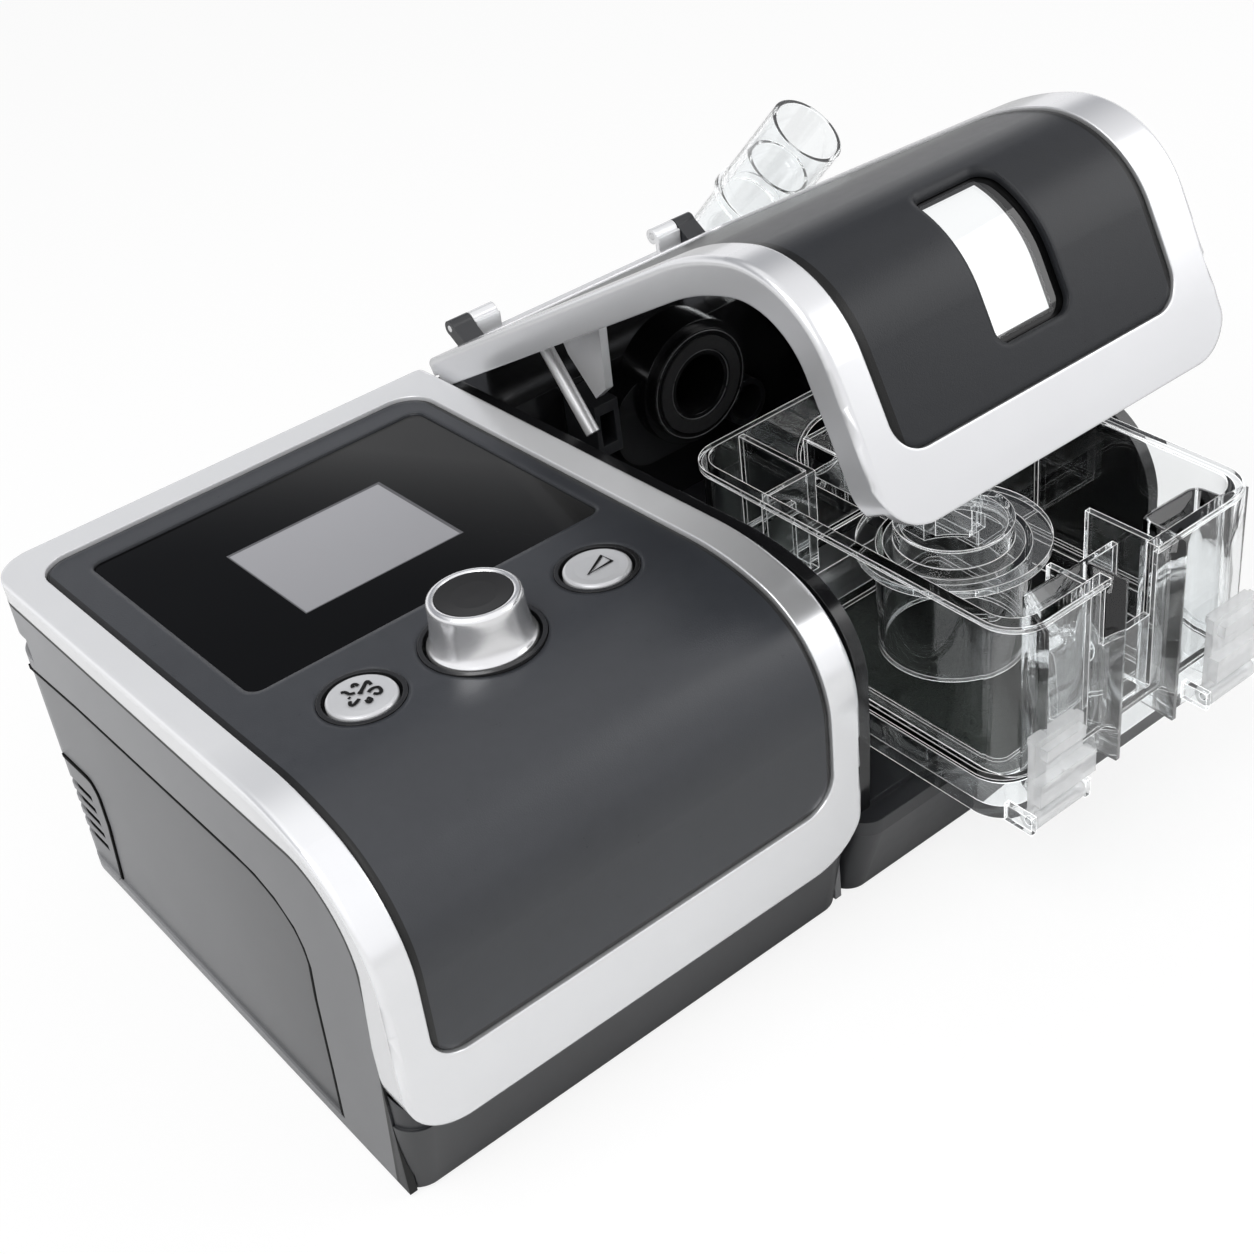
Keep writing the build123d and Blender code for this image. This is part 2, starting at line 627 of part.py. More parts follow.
# Knob: a dark cup in the panel, the encoder below it, its shaft, and the turned metal knob
FACE = -PANEL_DROP
well = drum(KNOB_X, KNOB_Y, KNOB_WELL_FLOOR - 1, FACE + 0.3, KNOB_WELL_R)
well -= drum(KNOB_X, KNOB_Y, KNOB_WELL_FLOOR, FACE + 5, KNOB_WELL_R - WELL_WALL)
well -= drum(KNOB_X, KNOB_Y, KNOB_WELL_FLOOR - 5, FACE + 5, BUSHING_R + 0.3)
parts["knob_well"] = well
board_drop = BOARD_TOP_Z - top_z(KNOB_Y) + 0.35
encoder = seat(KNOB_X, KNOB_Y) * (Pos(0, 0, board_drop + 5) * Box(ENCODER_SIDE, ENCODER_SIDE, 10))
encoder += drum(KNOB_X, KNOB_Y, board_drop, KNOB_WELL_FLOOR - 1.2, BUSHING_R)
encoder -= drum(KNOB_X, KNOB_Y, board_drop + 1, 0, SHAFT_R + RUN_FIT)
parts["rotary_encoder"] = encoder
SHAFT_TOP = 9.0
parts["encoder_plunger"] = drum(KNOB_X, KNOB_Y, board_drop + 2, SHAFT_TOP, SHAFT_R)
cap_low = KNOB_TOP - KNOB_CAP_SINK
flank_low = (KNOB_R, -0.9)
flank_high = (KNOB_RIM_R, KNOB_TOP - 1.0)
knob_low = Polyline(
    (0, cap_low),
    (0, SHAFT_TOP + 0.4),
    (SHAFT_R + RUN_FIT, SHAFT_TOP + 0.4),
    (SHAFT_R + RUN_FIT, KNOB_BOTTOM),
    (KNOB_R, KNOB_BOTTOM),
    flank_low,
)
knob_flank = Spline(flank_low, (KNOB_WAIST_R + 1.1, 2.4), (KNOB_WAIST_R, 6.6), flank_high)
knob_high = Polyline(
    flank_high,
    (KNOB_RIM_R - 0.2, KNOB_TOP - 0.4),
    (KNOB_RIM_R - 0.6, KNOB_TOP),
    (KNOB_CAP_R + 0.1, KNOB_TOP),
    (KNOB_CAP_R + 0.1, cap_low),
    (0, cap_low),
)
knob_profile = make_face(list(knob_low.edges()) + [knob_flank] + list(knob_high.edges()))
parts["knob_shell"] = seat(KNOB_X, KNOB_Y) * revolve(Plane.XZ * knob_profile, Axis.Z)
cap_points = (
    (0, cap_low),
    (KNOB_CAP_R, cap_low),
    (KNOB_CAP_R, KNOB_TOP - 0.3),
    (KNOB_CAP_R * 0.6, KNOB_TOP - 0.7),
    (0, KNOB_TOP - 0.85),
)
parts["knob_cap"] = turned(cap_points, KNOB_X, KNOB_Y)

# Two push buttons, each in its own dark cup over a switch on the board
BUTTON_LOW = FACE + BUTTON_PROUD - BUTTON_T
WELL_FLOOR = BUTTON_LOW - BUTTON_TRAVEL - 0.9
SWITCH_TOP = -12.4
cups = []
switches = []
for name, x in (("left", BUTTON_X_LEFT), ("ramp", BUTTON_X_RIGHT)):
    cup = drum(x, BUTTON_Y, WELL_FLOOR - 1.4, FACE + 0.2, BUTTON_WELL_R)
    cup -= drum(x, BUTTON_Y, WELL_FLOOR, FACE + 5, BUTTON_WELL_R - WELL_WALL)
    cup -= drum(x, BUTTON_Y, WELL_FLOOR - 5, FACE + 5, BUTTON_STEM_R + RUN_FIT)
    cups.append(cup)
    top = FACE + BUTTON_PROUD
    button_points = (
        (0, SWITCH_TOP + BUTTON_TRAVEL + 0.15),
        (BUTTON_STEM_R, SWITCH_TOP + BUTTON_TRAVEL + 0.15),
        (BUTTON_STEM_R, BUTTON_LOW),
        (BUTTON_R, BUTTON_LOW),
        (BUTTON_R, top - 0.8),
        (BUTTON_R - 0.3, top - 0.3),
        (BUTTON_R - 0.9, top),
        (BUTTON_R - 3.5, top - 0.25),
        (0, top - 0.45),
    )
    parts[name + "_button"] = turned(button_points, x, BUTTON_Y)
    drop = BOARD_TOP_Z - top_z(BUTTON_Y) + 0.2
    body_top = SWITCH_TOP - 1
    body = Pos(0, 0, (drop + body_top) / 2) * Box(SWITCH_SIDE, SWITCH_SIDE, body_top - drop)
    switch = seat(x, BUTTON_Y) * body
    switch += drum(x, BUTTON_Y, drop + 1, SWITCH_TOP, 1.8)
    switches.append(switch)
parts["button_wells"] = cups[0] + cups[1]
parts["button_switches"] = switches[0] + switches[1]

# Boards and card
board = block(14.4, MAIN_WIDTH - 14.4, 20, CASE_DEPTH - 11.2, BOARD_TOP_Z - BOARD_T, BOARD_TOP_Z)
board_parts = (
    (96, 118, 100, 122, -6.0),
    (40, 52, 60, 72, -3.2),
    (60, 76, 140, 152, -4.0),
    (110, 124, 150, 160, -5.0),
)
for x0, x1, y0, y1, drop in board_parts:
    board += block(x0, x1, y0, y1, BOARD_TOP_Z - BOARD_T + drop, BOARD_TOP_Z - BOARD_T + 0.5)
parts["main_board"] = board
CARD_LOW = CARD_Z
socket_top = BOARD_TOP_Z - BOARD_T
CARD_FRONT_Y = CARD_END_Y - CARD_L
socket = block(CARD_X - 2, CARD_X + CARD_W + 2, CARD_FRONT_Y - 2, NOTCH_FRONT_Y - 0.5, CARD_Z - 2, socket_top)
socket &= slab_z(offset(inner_plan, -WALL_GAP), 0, ABOVE)
socket -= block(
    CARD_X - CARD_FIT,
    CARD_X + CARD_W + CARD_FIT,
    CARD_FRONT_Y - CARD_FIT,
    BEHIND,
    CARD_Z - CARD_FIT,
    CARD_Z + CARD_T + CARD_FIT,
)
socket -= block(CARD_X + 4, CARD_X + CARD_W - 4, CARD_FRONT_Y - 5, BEHIND, CARD_Z + CARD_T + 1.5, socket_top - 1)
parts["card_socket"] = socket
card = block(CARD_X, CARD_X + CARD_W, CARD_FRONT_Y, CARD_END_Y, CARD_Z, CARD_Z + CARD_T)
parts["memory_card"] = fillet(card.edges().filter_by(Axis.Z), 1.0)
power = block(POWER_X0, POWER_X1, POWER_Y0, POWER_Y1, POWER_Z, POWER_Z + BOARD_T)
power += rod_z(POWER_X0 + 10, 44, POWER_Z + 1, POWER_Z + 22, 8.0)
power += rod_z(POWER_X0 + 22, 66, POWER_Z + 1, POWER_Z + 16, 5.0)
power += block(POWER_X0 + 5, POWER_X0 + 27, 84, 112, POWER_Z + 1, POWER_Z + 14)
parts["power_board"] = power
inlet = block(INLET_X - 7, INLET_X + 7, CASE_DEPTH - 12.8, CASE_DEPTH - WALL - 0.2, INLET_Z - 7, INLET_Z + 7)
inlet += rod_y(INLET_X, CASE_DEPTH - 5.2, CASE_DEPTH + 0.3, INLET_Z, 8.0 - 0.1) & block(
    0, MAIN_WIDTH, CASE_DEPTH - 5.2, BEHIND, 0, 40
)
inlet -= rod_y(INLET_X, CASE_DEPTH - 10.7, BEHIND, INLET_Z, INLET_R)
inlet += rod_y(INLET_X, CASE_DEPTH - 11.2, CASE_DEPTH - 1.7, INLET_Z, INLET_PIN_R)
parts["power_inlet"] = inlet

# Blower, on rubber feet, with its motor and wheel
housing = rod_z(BLOWER_X, BLOWER_Y, BLOWER_LOW_Z, BLOWER_TOP_Z, BLOWER_R)
spout_x1 = PLENUM_X0 - 0.3
spout_y1 = BLOWER_Y + BLOWER_R
spout_y0 = spout_y1 - OUTLET_DEEP
housing += block(BLOWER_X, spout_x1, spout_y0, spout_y1, OUTLET_LOW_Z, OUTLET_LOW_Z + OUTLET_HIGH)
housing -= rod_z(BLOWER_X, BLOWER_Y, BLOWER_LOW_Z + BLOWER_WALL, BLOWER_TOP_Z + 1, BLOWER_R - BLOWER_WALL)
housing -= block(
    BLOWER_X,
    spout_x1 + 1,
    spout_y0 + BLOWER_WALL,
    spout_y1 - BLOWER_WALL,
    OUTLET_LOW_Z + BLOWER_WALL,
    OUTLET_LOW_Z + OUTLET_HIGH - BLOWER_WALL,
)
parts["blower_housing"] = housing
blower_cover = rod_z(BLOWER_X, BLOWER_Y, BLOWER_TOP_Z, BLOWER_TOP_Z + 2, BLOWER_R)
blower_cover += rod_z(BLOWER_X, BLOWER_Y, BLOWER_TOP_Z, BLOWER_TOP_Z + 6, INTAKE_R + 2)
blower_cover -= rod_z(BLOWER_X, BLOWER_Y, BLOWER_TOP_Z - 1, BLOWER_TOP_Z + 7, INTAKE_R)
parts["blower_cover"] = blower_cover
motor = rod_z(BLOWER_X, BLOWER_Y, BLOWER_LOW_Z + BLOWER_WALL, MOTOR_TOP_Z, MOTOR_R)
motor += rod_z(BLOWER_X, BLOWER_Y, MOTOR_TOP_Z - 1, IMPELLER_TOP_Z - 1, MOTOR_SHAFT_R)
parts["blower_motor"] = motor
wheel = rod_z(BLOWER_X, BLOWER_Y, IMPELLER_LOW_Z, IMPELLER_LOW_Z + 1.6, IMPELLER_R)
wheel += rod_z(BLOWER_X, BLOWER_Y, IMPELLER_LOW_Z, IMPELLER_TOP_Z, 6)
for i in range(VANE_COUNT):
    vane = block(4, IMPELLER_R - 0.5, -0.7, 0.7, IMPELLER_LOW_Z + 1, IMPELLER_TOP_Z)
    wheel += Pos(BLOWER_X, BLOWER_Y, 0) * Rot(0, 0, i * 360 / VANE_COUNT) * vane
wheel -= rod_z(BLOWER_X, BLOWER_Y, IMPELLER_LOW_Z - 1, IMPELLER_TOP_Z - 0.6, MOTOR_SHAFT_R + RUN_FIT)
parts["impeller"] = wheel
mounts = None
for i in range(3):
    angle = math.radians(90 + i * 120)
    x = BLOWER_X + IMPELLER_R * math.cos(angle)
    y = BLOWER_Y + IMPELLER_R * math.sin(angle)
    mount = rod_z(x, y, FLOOR_T, BLOWER_LOW_Z, 5)
    mounts = mount if mounts is None else mounts + mount
parts["blower_mounts"] = mounts

# Air path to the humidifier, inlet box and filter
plenum_back = CASE_DEPTH - WALL - 1
plenum_x1 = MAIN_WIDTH - WALL - 0.3
plenum = block(PLENUM_X0, plenum_x1, spout_y0 - 2, plenum_back, PLENUM_LOW_Z, PLENUM_TOP_Z)
plenum -= block(PLENUM_X0 + 2, plenum_x1 - 2, spout_y0, plenum_back - 2, PLENUM_LOW_Z + 2, PLENUM_TOP_Z - 2)
plenum -= block(
    PLENUM_X0 - 1,
    PLENUM_X0 + 3,
    spout_y0 + BLOWER_WALL,
    spout_y1 - BLOWER_WALL,
    OUTLET_LOW_Z + BLOWER_WALL,
    OUTLET_LOW_Z + OUTLET_HIGH - BLOWER_WALL,
)
plenum += rod_x(plenum_x1 - 2, MAIN_WIDTH + DOCK_REACH, DOCK_Y, DOCK_Z, DOCK_R) & block(
    plenum_x1 - 2, MAIN_WIDTH + DOCK_REACH + 5, 0, BEHIND, 0, ABOVE
)
plenum -= rod_x(plenum_x1 - 4, MAIN_WIDTH + DOCK_REACH + 1, DOCK_Y, DOCK_Z, DOCK_BORE_R)
for x in (PLENUM_X0 + 5, plenum_x1 - 5):
    plenum += block(x - 3, x + 3, spout_y0 + 2, spout_y0 + 8, FLOOR_T, PLENUM_LOW_Z + 0.5)
sensor_y0 = CASE_DEPTH - 45.2
plenum += block(PLENUM_X0 + 8, PLENUM_X0 + 26, sensor_y0, sensor_y0 + 12, PLENUM_TOP_Z - 0.5, PLENUM_TOP_Z + 8)
parts["docking_duct"] = plenum
box_y0 = COVER_FRONT_Y + 2
box_z0 = COVER_LOW_Z + 1.2
box_z1 = COVER_TOP_Z - 2
filter_box = block(FILTER_BOX_X, FILTER_BOX_X + FILTER_BOX_DEPTH, box_y0, FILTER_BOX_BACK, box_z0, box_z1)
filter_box -= block(
    FILTER_BOX_X - 1, FILTER_BOX_X + FILTER_BOX_DEPTH - 2, box_y0 + 2, FILTER_BOX_BACK - 2, box_z0 + 2, box_z1 - 2
)
filter_box -= rod_x(FILTER_BOX_X + 20, FILTER_BOX_X + 40, (box_y0 + FILTER_BOX_BACK) / 2, 24, 7)
filter_box += block(FILTER_BOX_X + 12, FILTER_BOX_X + 18, box_y0 + 4, box_y0 + 12, FLOOR_T, box_z0 + 0.5)
stop_x = FILTER_BOX_X + FILTER_T + 0.6
filter_box += block(stop_x, stop_x + 1.4, box_y0 + 1, box_y0 + 4, box_z0 + 1, box_z1 - 1)
parts["filter_housing"] = filter_box
parts["filter_pad"] = block(
    FILTER_BOX_X + 0.4,
    FILTER_BOX_X + 0.4 + FILTER_T,
    box_y0 + 2 + FILTER_FIT,
    FILTER_BOX_BACK - 2 - FILTER_FIT,
    box_z0 + 2 + FILTER_FIT,
    box_z1 - 2 - FILTER_FIT,
)

# Clear outlet elbow: a swept bend from the rear socket, then a wider sleeve
lean = math.radians(ELBOW_LEAN)
across = Vector(math.sin(lean), 0, math.cos(lean))
elbow_start = Vector(ELBOW_X, ELBOW_Y, ELBOW_Z)
turn = math.radians(ELBOW_TURN)
out = Vector(0, 1, 0) * math.cos(turn) + across * math.sin(turn)
bend_centre = elbow_start + across * ELBOW_BEND_R
bend_axis = Axis(bend_centre, Vector(0, 1, 0).cross(across))
bend_end = elbow_start + Vector(0, 1, 0) * (ELBOW_BEND_R * math.sin(turn))
bend_end += across * (ELBOW_BEND_R * (1 - math.cos(turn)))
sleeve_start = bend_end + out * ELBOW_RUN
mouth = sleeve_start + out * SLEEVE_L


def elbow_tube(radius):
    ring = Plane(origin=elbow_start, z_dir=(0, 1, 0)) * Circle(radius)
    return revolve(ring, bend_axis, ELBOW_TURN)


def along(low, high, radius):
    axis = Plane(origin=sleeve_start + out * low, z_dir=out)
    return axis * extrude(Circle(radius), high - low)


FLANGE_R = 15.2
elbow = elbow_tube(ELBOW_R) + along(-ELBOW_RUN, 0, ELBOW_R)
elbow += along(0, SLEEVE_L, SLEEVE_R)
elbow += along(-1.5, 1.5, FLANGE_R)
elbow -= elbow_tube(ELBOW_BORE_R)
elbow -= along(-ELBOW_RUN, SLEEVE_STEP, ELBOW_BORE_R)
elbow -= along(SLEEVE_STEP, SLEEVE_L + 1, SLEEVE_BORE_R)
parts["outlet_elbow"] = elbow
SWEEP_GAP = 1.6
elbow_room = elbow_tube(ELBOW_R + SWEEP_GAP) + along(-ELBOW_RUN, 2, FLANGE_R + SWEEP_GAP - 1)
elbow_room += along(-ELBOW_RUN, SLEEVE_L + 20, SLEEVE_R + SWEEP_GAP)

# Humidifier base with its raised deck
hb = slab_x(outline(0.0, 0, HB_BACK, 0.0), HUM_LEFT, HUM_RIGHT)
hb_low = hb & block(HUM_LEFT - 5, BESIDE, -20, BEHIND, 0, TRIM_FOOT_Z)
hb_low = fillet(front_corners(hb_low, HUM_LEFT, HUM_RIGHT, 5), HB_CORNER_R)
hb_up = hb & block(HUM_LEFT - 5, BESIDE, -20, BEHIND, TRIM_FOOT_Z, HB_TOP)
hb_up = fillet(front_corners(hb_up, HUM_LEFT, HUM_RIGHT, 5), HB_CORNER_R)
hb = hb_low + hb_up
IN_X0 = HUM_LEFT + SIDE_OUT + SIDE_IN
IN_X1 = HUM_RIGHT - SIDE_OUT - SIDE_IN
hb += block(IN_X0 + SEAM, IN_X1 - SEAM, -3.5, BULKHEAD_Y - SEAM, HB_TOP - 1, HB_DECK)
hb -= block(HUM_LEFT + HB_CORNER_R, HUM_RIGHT - HB_CORNER_R, 3.5, HB_BACK - HB_WALL, FLOOR_T, HB_TOP - HB_WALL)
heater_room = block(
    HEATER_X0 - HEATER_FIT, HEATER_X1 + HEATER_FIT, HEATER_Y0 - HEATER_FIT, HEATER_Y1 + HEATER_FIT, 20, 60
)
hb -= heater_room
HFEET = (
    (HUM_LEFT + FOOT_INSET, FOOT_INSET),
    (HUM_RIGHT - FOOT_INSET, FOOT_INSET),
    (HUM_LEFT + FOOT_INSET, CASE_DEPTH - FOOT_INSET),
    (HUM_RIGHT - FOOT_INSET, CASE_DEPTH - FOOT_INSET),
)
hfeet = None
for x, y in HFEET:
    hb -= rod_z(x, y, -1, 1.6, FOOT_STUD_R + 0.1)
    foot = rod_z(x, y, -FOOT_T, 0, FOOT_R) + rod_z(x, y, -0.5, 1.5, FOOT_STUD_R)
    hfeet = foot if hfeet is None else hfeet + foot
parts["humidifier_feet"] = hfeet
for x in (HEATER_X0 + 10, HEATER_X1 - 10):
    for y in (HEATER_Y0 + 12, HEATER_Y1 - 12):
        hb += rod_z(x, y, FLOOR_T - 0.5, HEATER_TOP - HEATER_T - 4, 4)
parts["humidifier_base"] = hb
parts["heater_plate"] = block(HEATER_X0, HEATER_X1, HEATER_Y0, HEATER_Y1, HEATER_TOP - HEATER_T, HEATER_TOP)
parts["heater_insulator"] = block(
    HEATER_X0 + 2, HEATER_X1 - 2, HEATER_Y0 + 2, HEATER_Y1 - 2, HEATER_TOP - HEATER_T - 4, HEATER_TOP - HEATER_T
)

# Side walls of the humidifier, stepped so that the lid's skirts close over them
SIDE_FOOT = HB_TOP + SKIN_GAP
SIDE_BACK = CASE_DEPTH + 0.6
left = slab_x(outline(SIDE_LOW_INSET, 0, SIDE_BACK), HUM_LEFT, IN_X0)
left += slab_x(outline(SIDE_HIGH_INSET, 0, SIDE_BACK), HUM_LEFT + SIDE_OUT - 0.4, IN_X0)
left &= block(HUM_LEFT - 5, BESIDE, -30, BEHIND, SIDE_FOOT, ABOVE)
left -= rod_x(HUM_LEFT - 1, IN_X0 + 1, DOCK_Y, DOCK_Z, DOCK_R + DOCK_FIT)
for y in HOOK_YS:
    left += block(HUM_LEFT - HOOK_REACH, HUM_LEFT + 1, y, y + HOOK_D, HOOK_Z, HOOK_Z + HOOK_H)
parts["humidifier_left_wall"] = left
right = slab_x(outline(SIDE_LOW_INSET, 0, SIDE_BACK), IN_X1, HUM_RIGHT)
right += slab_x(outline(SIDE_HIGH_INSET, 0, SIDE_BACK), IN_X1, HUM_RIGHT - SIDE_OUT + 0.4)
right &= block(HUM_LEFT - 5, BESIDE, -30, BEHIND, SIDE_FOOT, ABOVE)
right -= block(IN_X1 - 1, BESIDE, CASE_DEPTH - 17.2, BEHIND, 84, ABOVE)
right -= elbow_room
parts["humidifier_right_wall"] = right

# Rear housing: front bulkhead, deck and rear wall
RH_X0 = IN_X0 + SEAM
RH_X1 = IN_X1 - SEAM
RH_FOOT = HB_TOP + SKIN_GAP
rear_y0 = HB_BACK - REAR_WALL_T
rear_housing = block(RH_X0, RH_X1, BULKHEAD_Y, BULKHEAD_Y + BULKHEAD_T, RH_FOOT, REAR_DECK_Z + 2.5)
rear_housing += block(RH_X0, RH_X1, BULKHEAD_Y, HB_BACK, REAR_DECK_Z, REAR_DECK_Z + 2.5)
rear_housing += block(RH_X0, RH_X1, rear_y0, HB_BACK, RH_FOOT, REAR_TOP_Z)
for x in (ARM_X_LEFT, ARM_X_RIGHT):
    rear_housing -= block(x - 2, x + ARM_W + 2, rear_y0 - 2, HB_BACK + 1, REAR_DECK_Z + 2.5, ABOVE)
rear_housing -= block(ARM_X_RIGHT - 2, RH_X1 + 1, rear_y0 - 14, HB_BACK + 1, REAR_DECK_Z - 6, ABOVE)
rear_housing -= rod_y(PORT_X, BULKHEAD_Y - 1, BULKHEAD_Y + 5, PORT_Z, PORT_R + 2.7)
rear_housing -= rod_y(RETURN_X, BULKHEAD_Y - 1, BULKHEAD_Y + 5, RETURN_Z, RETURN_R + 2.2)
rear_housing -= rod_y(ELBOW_X, CASE_DEPTH - 5.2, CASE_DEPTH + 9.8, ELBOW_Z, SOCKET_R + 0.2)
rear_housing -= elbow_room
parts["rear_housing"] = rear_housing

# Air port in the bulkhead, with the duct behind it
duct_x0 = HUM_LEFT + DOCK_REACH + 1
duct_y0 = BULKHEAD_Y + BULKHEAD_T + 0.3
duct_y1 = rear_y0 - 0.3
port = rod_y(PORT_X, PORT_DRUM_Y, BULKHEAD_Y - SEAM, PORT_Z, PORT_DRUM_R)
port += rod_y(PORT_X, PORT_DRUM_Y, duct_y0 + 2, PORT_Z, PORT_R + 2.5)
lobe_face = rounded(PORT_X - 34, PORT_Z - 25, PORT_X, PORT_Z + 9, (15, 5, 5, 15))
lobe = slab_y(lobe_face, PORT_DRUM_Y + 3, BULKHEAD_Y - SEAM)
port += lobe
port += block(duct_x0, PORT_X + 16, duct_y0, duct_y1, DOCK_Z - 13, REAR_DECK_Z - 0.3)
port -= block(duct_x0 + 2, PORT_X + 14, duct_y0 + 2, duct_y1 - 2, DOCK_Z - 11, REAR_DECK_Z - 2.3)
port -= rod_y(PORT_X, PORT_DRUM_Y - 1, duct_y0 + 3, PORT_Z, PORT_R)
port -= rod_x(duct_x0 - 1, duct_x0 + 3, DOCK_Y, DOCK_Z, DOCK_R)
parts["port_duct"] = port
ring = rod_y(PORT_X, PORT_FRONT_Y, PORT_DRUM_Y, PORT_Z, PORT_RING_R)
ring -= rod_y(PORT_X, PORT_FRONT_Y - 1, PORT_DRUM_Y + 1, PORT_Z, PORT_R)
ring -= rod_y(PORT_X, PORT_FRONT_Y - 1, PORT_FRONT_Y + 1.4, PORT_Z, PORT_RING_R - 2.5) - rod_y(
    PORT_X, PORT_FRONT_Y - 2, PORT_FRONT_Y + 2, PORT_Z, PORT_R + 2
)
parts["port_ring"] = ring
seal = rod_y(PORT_X, PORT_FRONT_Y - 0.6, PORT_FRONT_Y + 1.4, PORT_Z, PORT_RING_R - 2.7)
seal -= rod_y(PORT_X, PORT_FRONT_Y - 2, PORT_FRONT_Y + 3, PORT_Z, PORT_R + 2.2)
parts["port_seal"] = seal
bracket = block(PORT_X - 46, PORT_X - 36, PORT_FRONT_Y, BULKHEAD_Y - SEAM, PORT_Z - 9, PORT_Z + 11)
bracket -= block(PORT_X - 44, PORT_X - 38, PORT_FRONT_Y - 1.4, BULKHEAD_Y - 8, PORT_Z - 5, PORT_Z + 7)
parts["bracket_block"] = bracket

# Outlet manifold behind the return port, with the socket for the elbow
MAN_X0 = RETURN_X - 12.5
manifold = block(MAN_X0, RH_X1 - 0.3, duct_y0, duct_y1, RETURN_Z - 14, RETURN_Z + 14)
manifold -= block(MAN_X0 + 2, RH_X1 - 2.3, duct_y0 + 2, duct_y1 - 2, RETURN_Z - 12, RETURN_Z + 12)
manifold += rod_y(RETURN_X, BULKHEAD_Y - 6, duct_y0 + 1, RETURN_Z, RETURN_R + 2)
manifold -= rod_y(RETURN_X, BULKHEAD_Y - 7, duct_y0 + 3, RETURN_Z, RETURN_R)
socket_hole_x1 = RH_X1 - 2.3
manifold += rod_y(ELBOW_X, duct_y1 - 1, HB_BACK + 0.1, ELBOW_Z, SOCKET_R) & block(
    0, BESIDE, duct_y1 - 1, BEHIND, 0, ABOVE
)
manifold -= rod_y(ELBOW_X - 5, duct_y1 - 3, HB_BACK + 1, ELBOW_Z, 3.9)
manifold &= block(MAN_X0, RH_X1 - 0.3, 0, BEHIND, 0, ABOVE) + rod_y(ELBOW_X, rear_y0, BEHIND, ELBOW_Z, SOCKET_R)
parts["outlet_manifold"] = manifold

# Hinge rail across the back, and the lid's pin
rail_x0 = ARM_X_LEFT + ARM_W + ARM_SIDE_GAP
rail_x1 = ARM_X_RIGHT - ARM_SIDE_GAP
rail = block(rail_x0, rail_x1, rear_y0, HB_BACK, REAR_TOP_Z, REAR_TOP_Z + RAIL_H)
for x in (rail_x0, rail_x1 - BARREL_L):
    rail += rod_x(x, x + BARREL_L, HINGE_Y, HINGE_Z, RAIL_R)
    rail += block(x, x + BARREL_L, rear_y0 + 0.4, HB_BACK, REAR_TOP_Z, HINGE_Z + 0.6)
    rail -= rod_x(x - 1, x + BARREL_L + 1, HINGE_Y, HINGE_Z, PIN_R + RUN_FIT)
parts["hinge_rail"] = rail
pin = rod_x(ARM_X_LEFT, rail_x0 + BARREL_L, HINGE_Y, HINGE_Z, PIN_R)
pin += rod_x(rail_x1 - BARREL_L, ARM_X_RIGHT + ARM_W, HINGE_Y, HINGE_Z, PIN_R)
parts["hinge_pin"] = pin

# Lid, drawn shut and then turned up to the angle at which it stands
lid_trim = slab_x(outline(0, 0, CASE_DEPTH), HUM_LEFT, HUM_RIGHT)
shoulders = []
for edge in lid_trim.edges():
    box = edge.bounding_box()
    flat = abs(box.min.X - box.max.X) < 1e-4
    if flat and box.max.Z > TRIM_FOOT_Z + 1 and box.min.Z > TRIM_FOOT_Z - 1 and box.min.Y < CASE_DEPTH - 1:
        shoulders.append(edge)
lid_trim = fillet(shoulders, TRIM_SHOULDER_R)
lid_mask = slab_y(rounded(HUM_LEFT, LID_FOOT_Z, HUM_RIGHT, ABOVE, (LID_CORNER_R, LID_CORNER_R, 0, 0)), -60, 60)
lid_mask += block(HUM_LEFT, HUM_RIGHT, 40, BEHIND, 60, ABOVE)
lid_trim &= lid_mask
lid_under = slab_x(outline(TRIM_T, -5, CASE_DEPTH - TRIM_T), HUM_LEFT + LID_SKIRT_T, HUM_RIGHT - LID_SKIRT_T)
lid_trim -= lid_under
lid_trim -= slab_x(outline(LID_SKIRT, -5, BEHIND), HUM_LEFT - 5, HUM_RIGHT + 5)
back_low = top_z(CASE_DEPTH, LID_PANEL_DROP + LID_PANEL_T + 2.4)
lid_trim -= block(HUM_LEFT - 5, BESIDE, CASE_DEPTH - TRIM_T - 0.01, BEHIND, 0, back_low)
lid_trim -= wrap(LID_OPEN_X0, LID_OPEN_X1, LID_OPENING_Z, CASE_DEPTH - TRIM_EDGE_BACK, LID_OPENING_R)
LID_BOTTOM = LID_PANEL_DROP + LID_PANEL_T
lid_panel = skin(LID_PANEL_DROP, LID_BOTTOM, HUM_LEFT - 5, BESIDE, 0)
lid_panel &= wrap(
    LID_OPEN_X0 + PANEL_GAP,
    LID_OPEN_X1 - PANEL_GAP,
    LID_OPENING_Z + PANEL_GAP,
    CASE_DEPTH - TRIM_EDGE_BACK - PANEL_GAP,
    LID_OPENING_R - PANEL_GAP,
)


def window_room(grow):
    x0 = WINDOW_X0 - grow
    x1 = WINDOW_X1 + grow
    radius = WINDOW_R + grow * 0.5
    low = slab_y(rounded(x0, WINDOW_LOW_Z - grow, x1, 104, (radius, radius, 0, 0)), -40, 10)
    high = slab_z(rounded(x0, -40, x1, WINDOW_TOP_Y + grow, (0, 0, radius, radius)), 96, ABOVE)
    return low + high


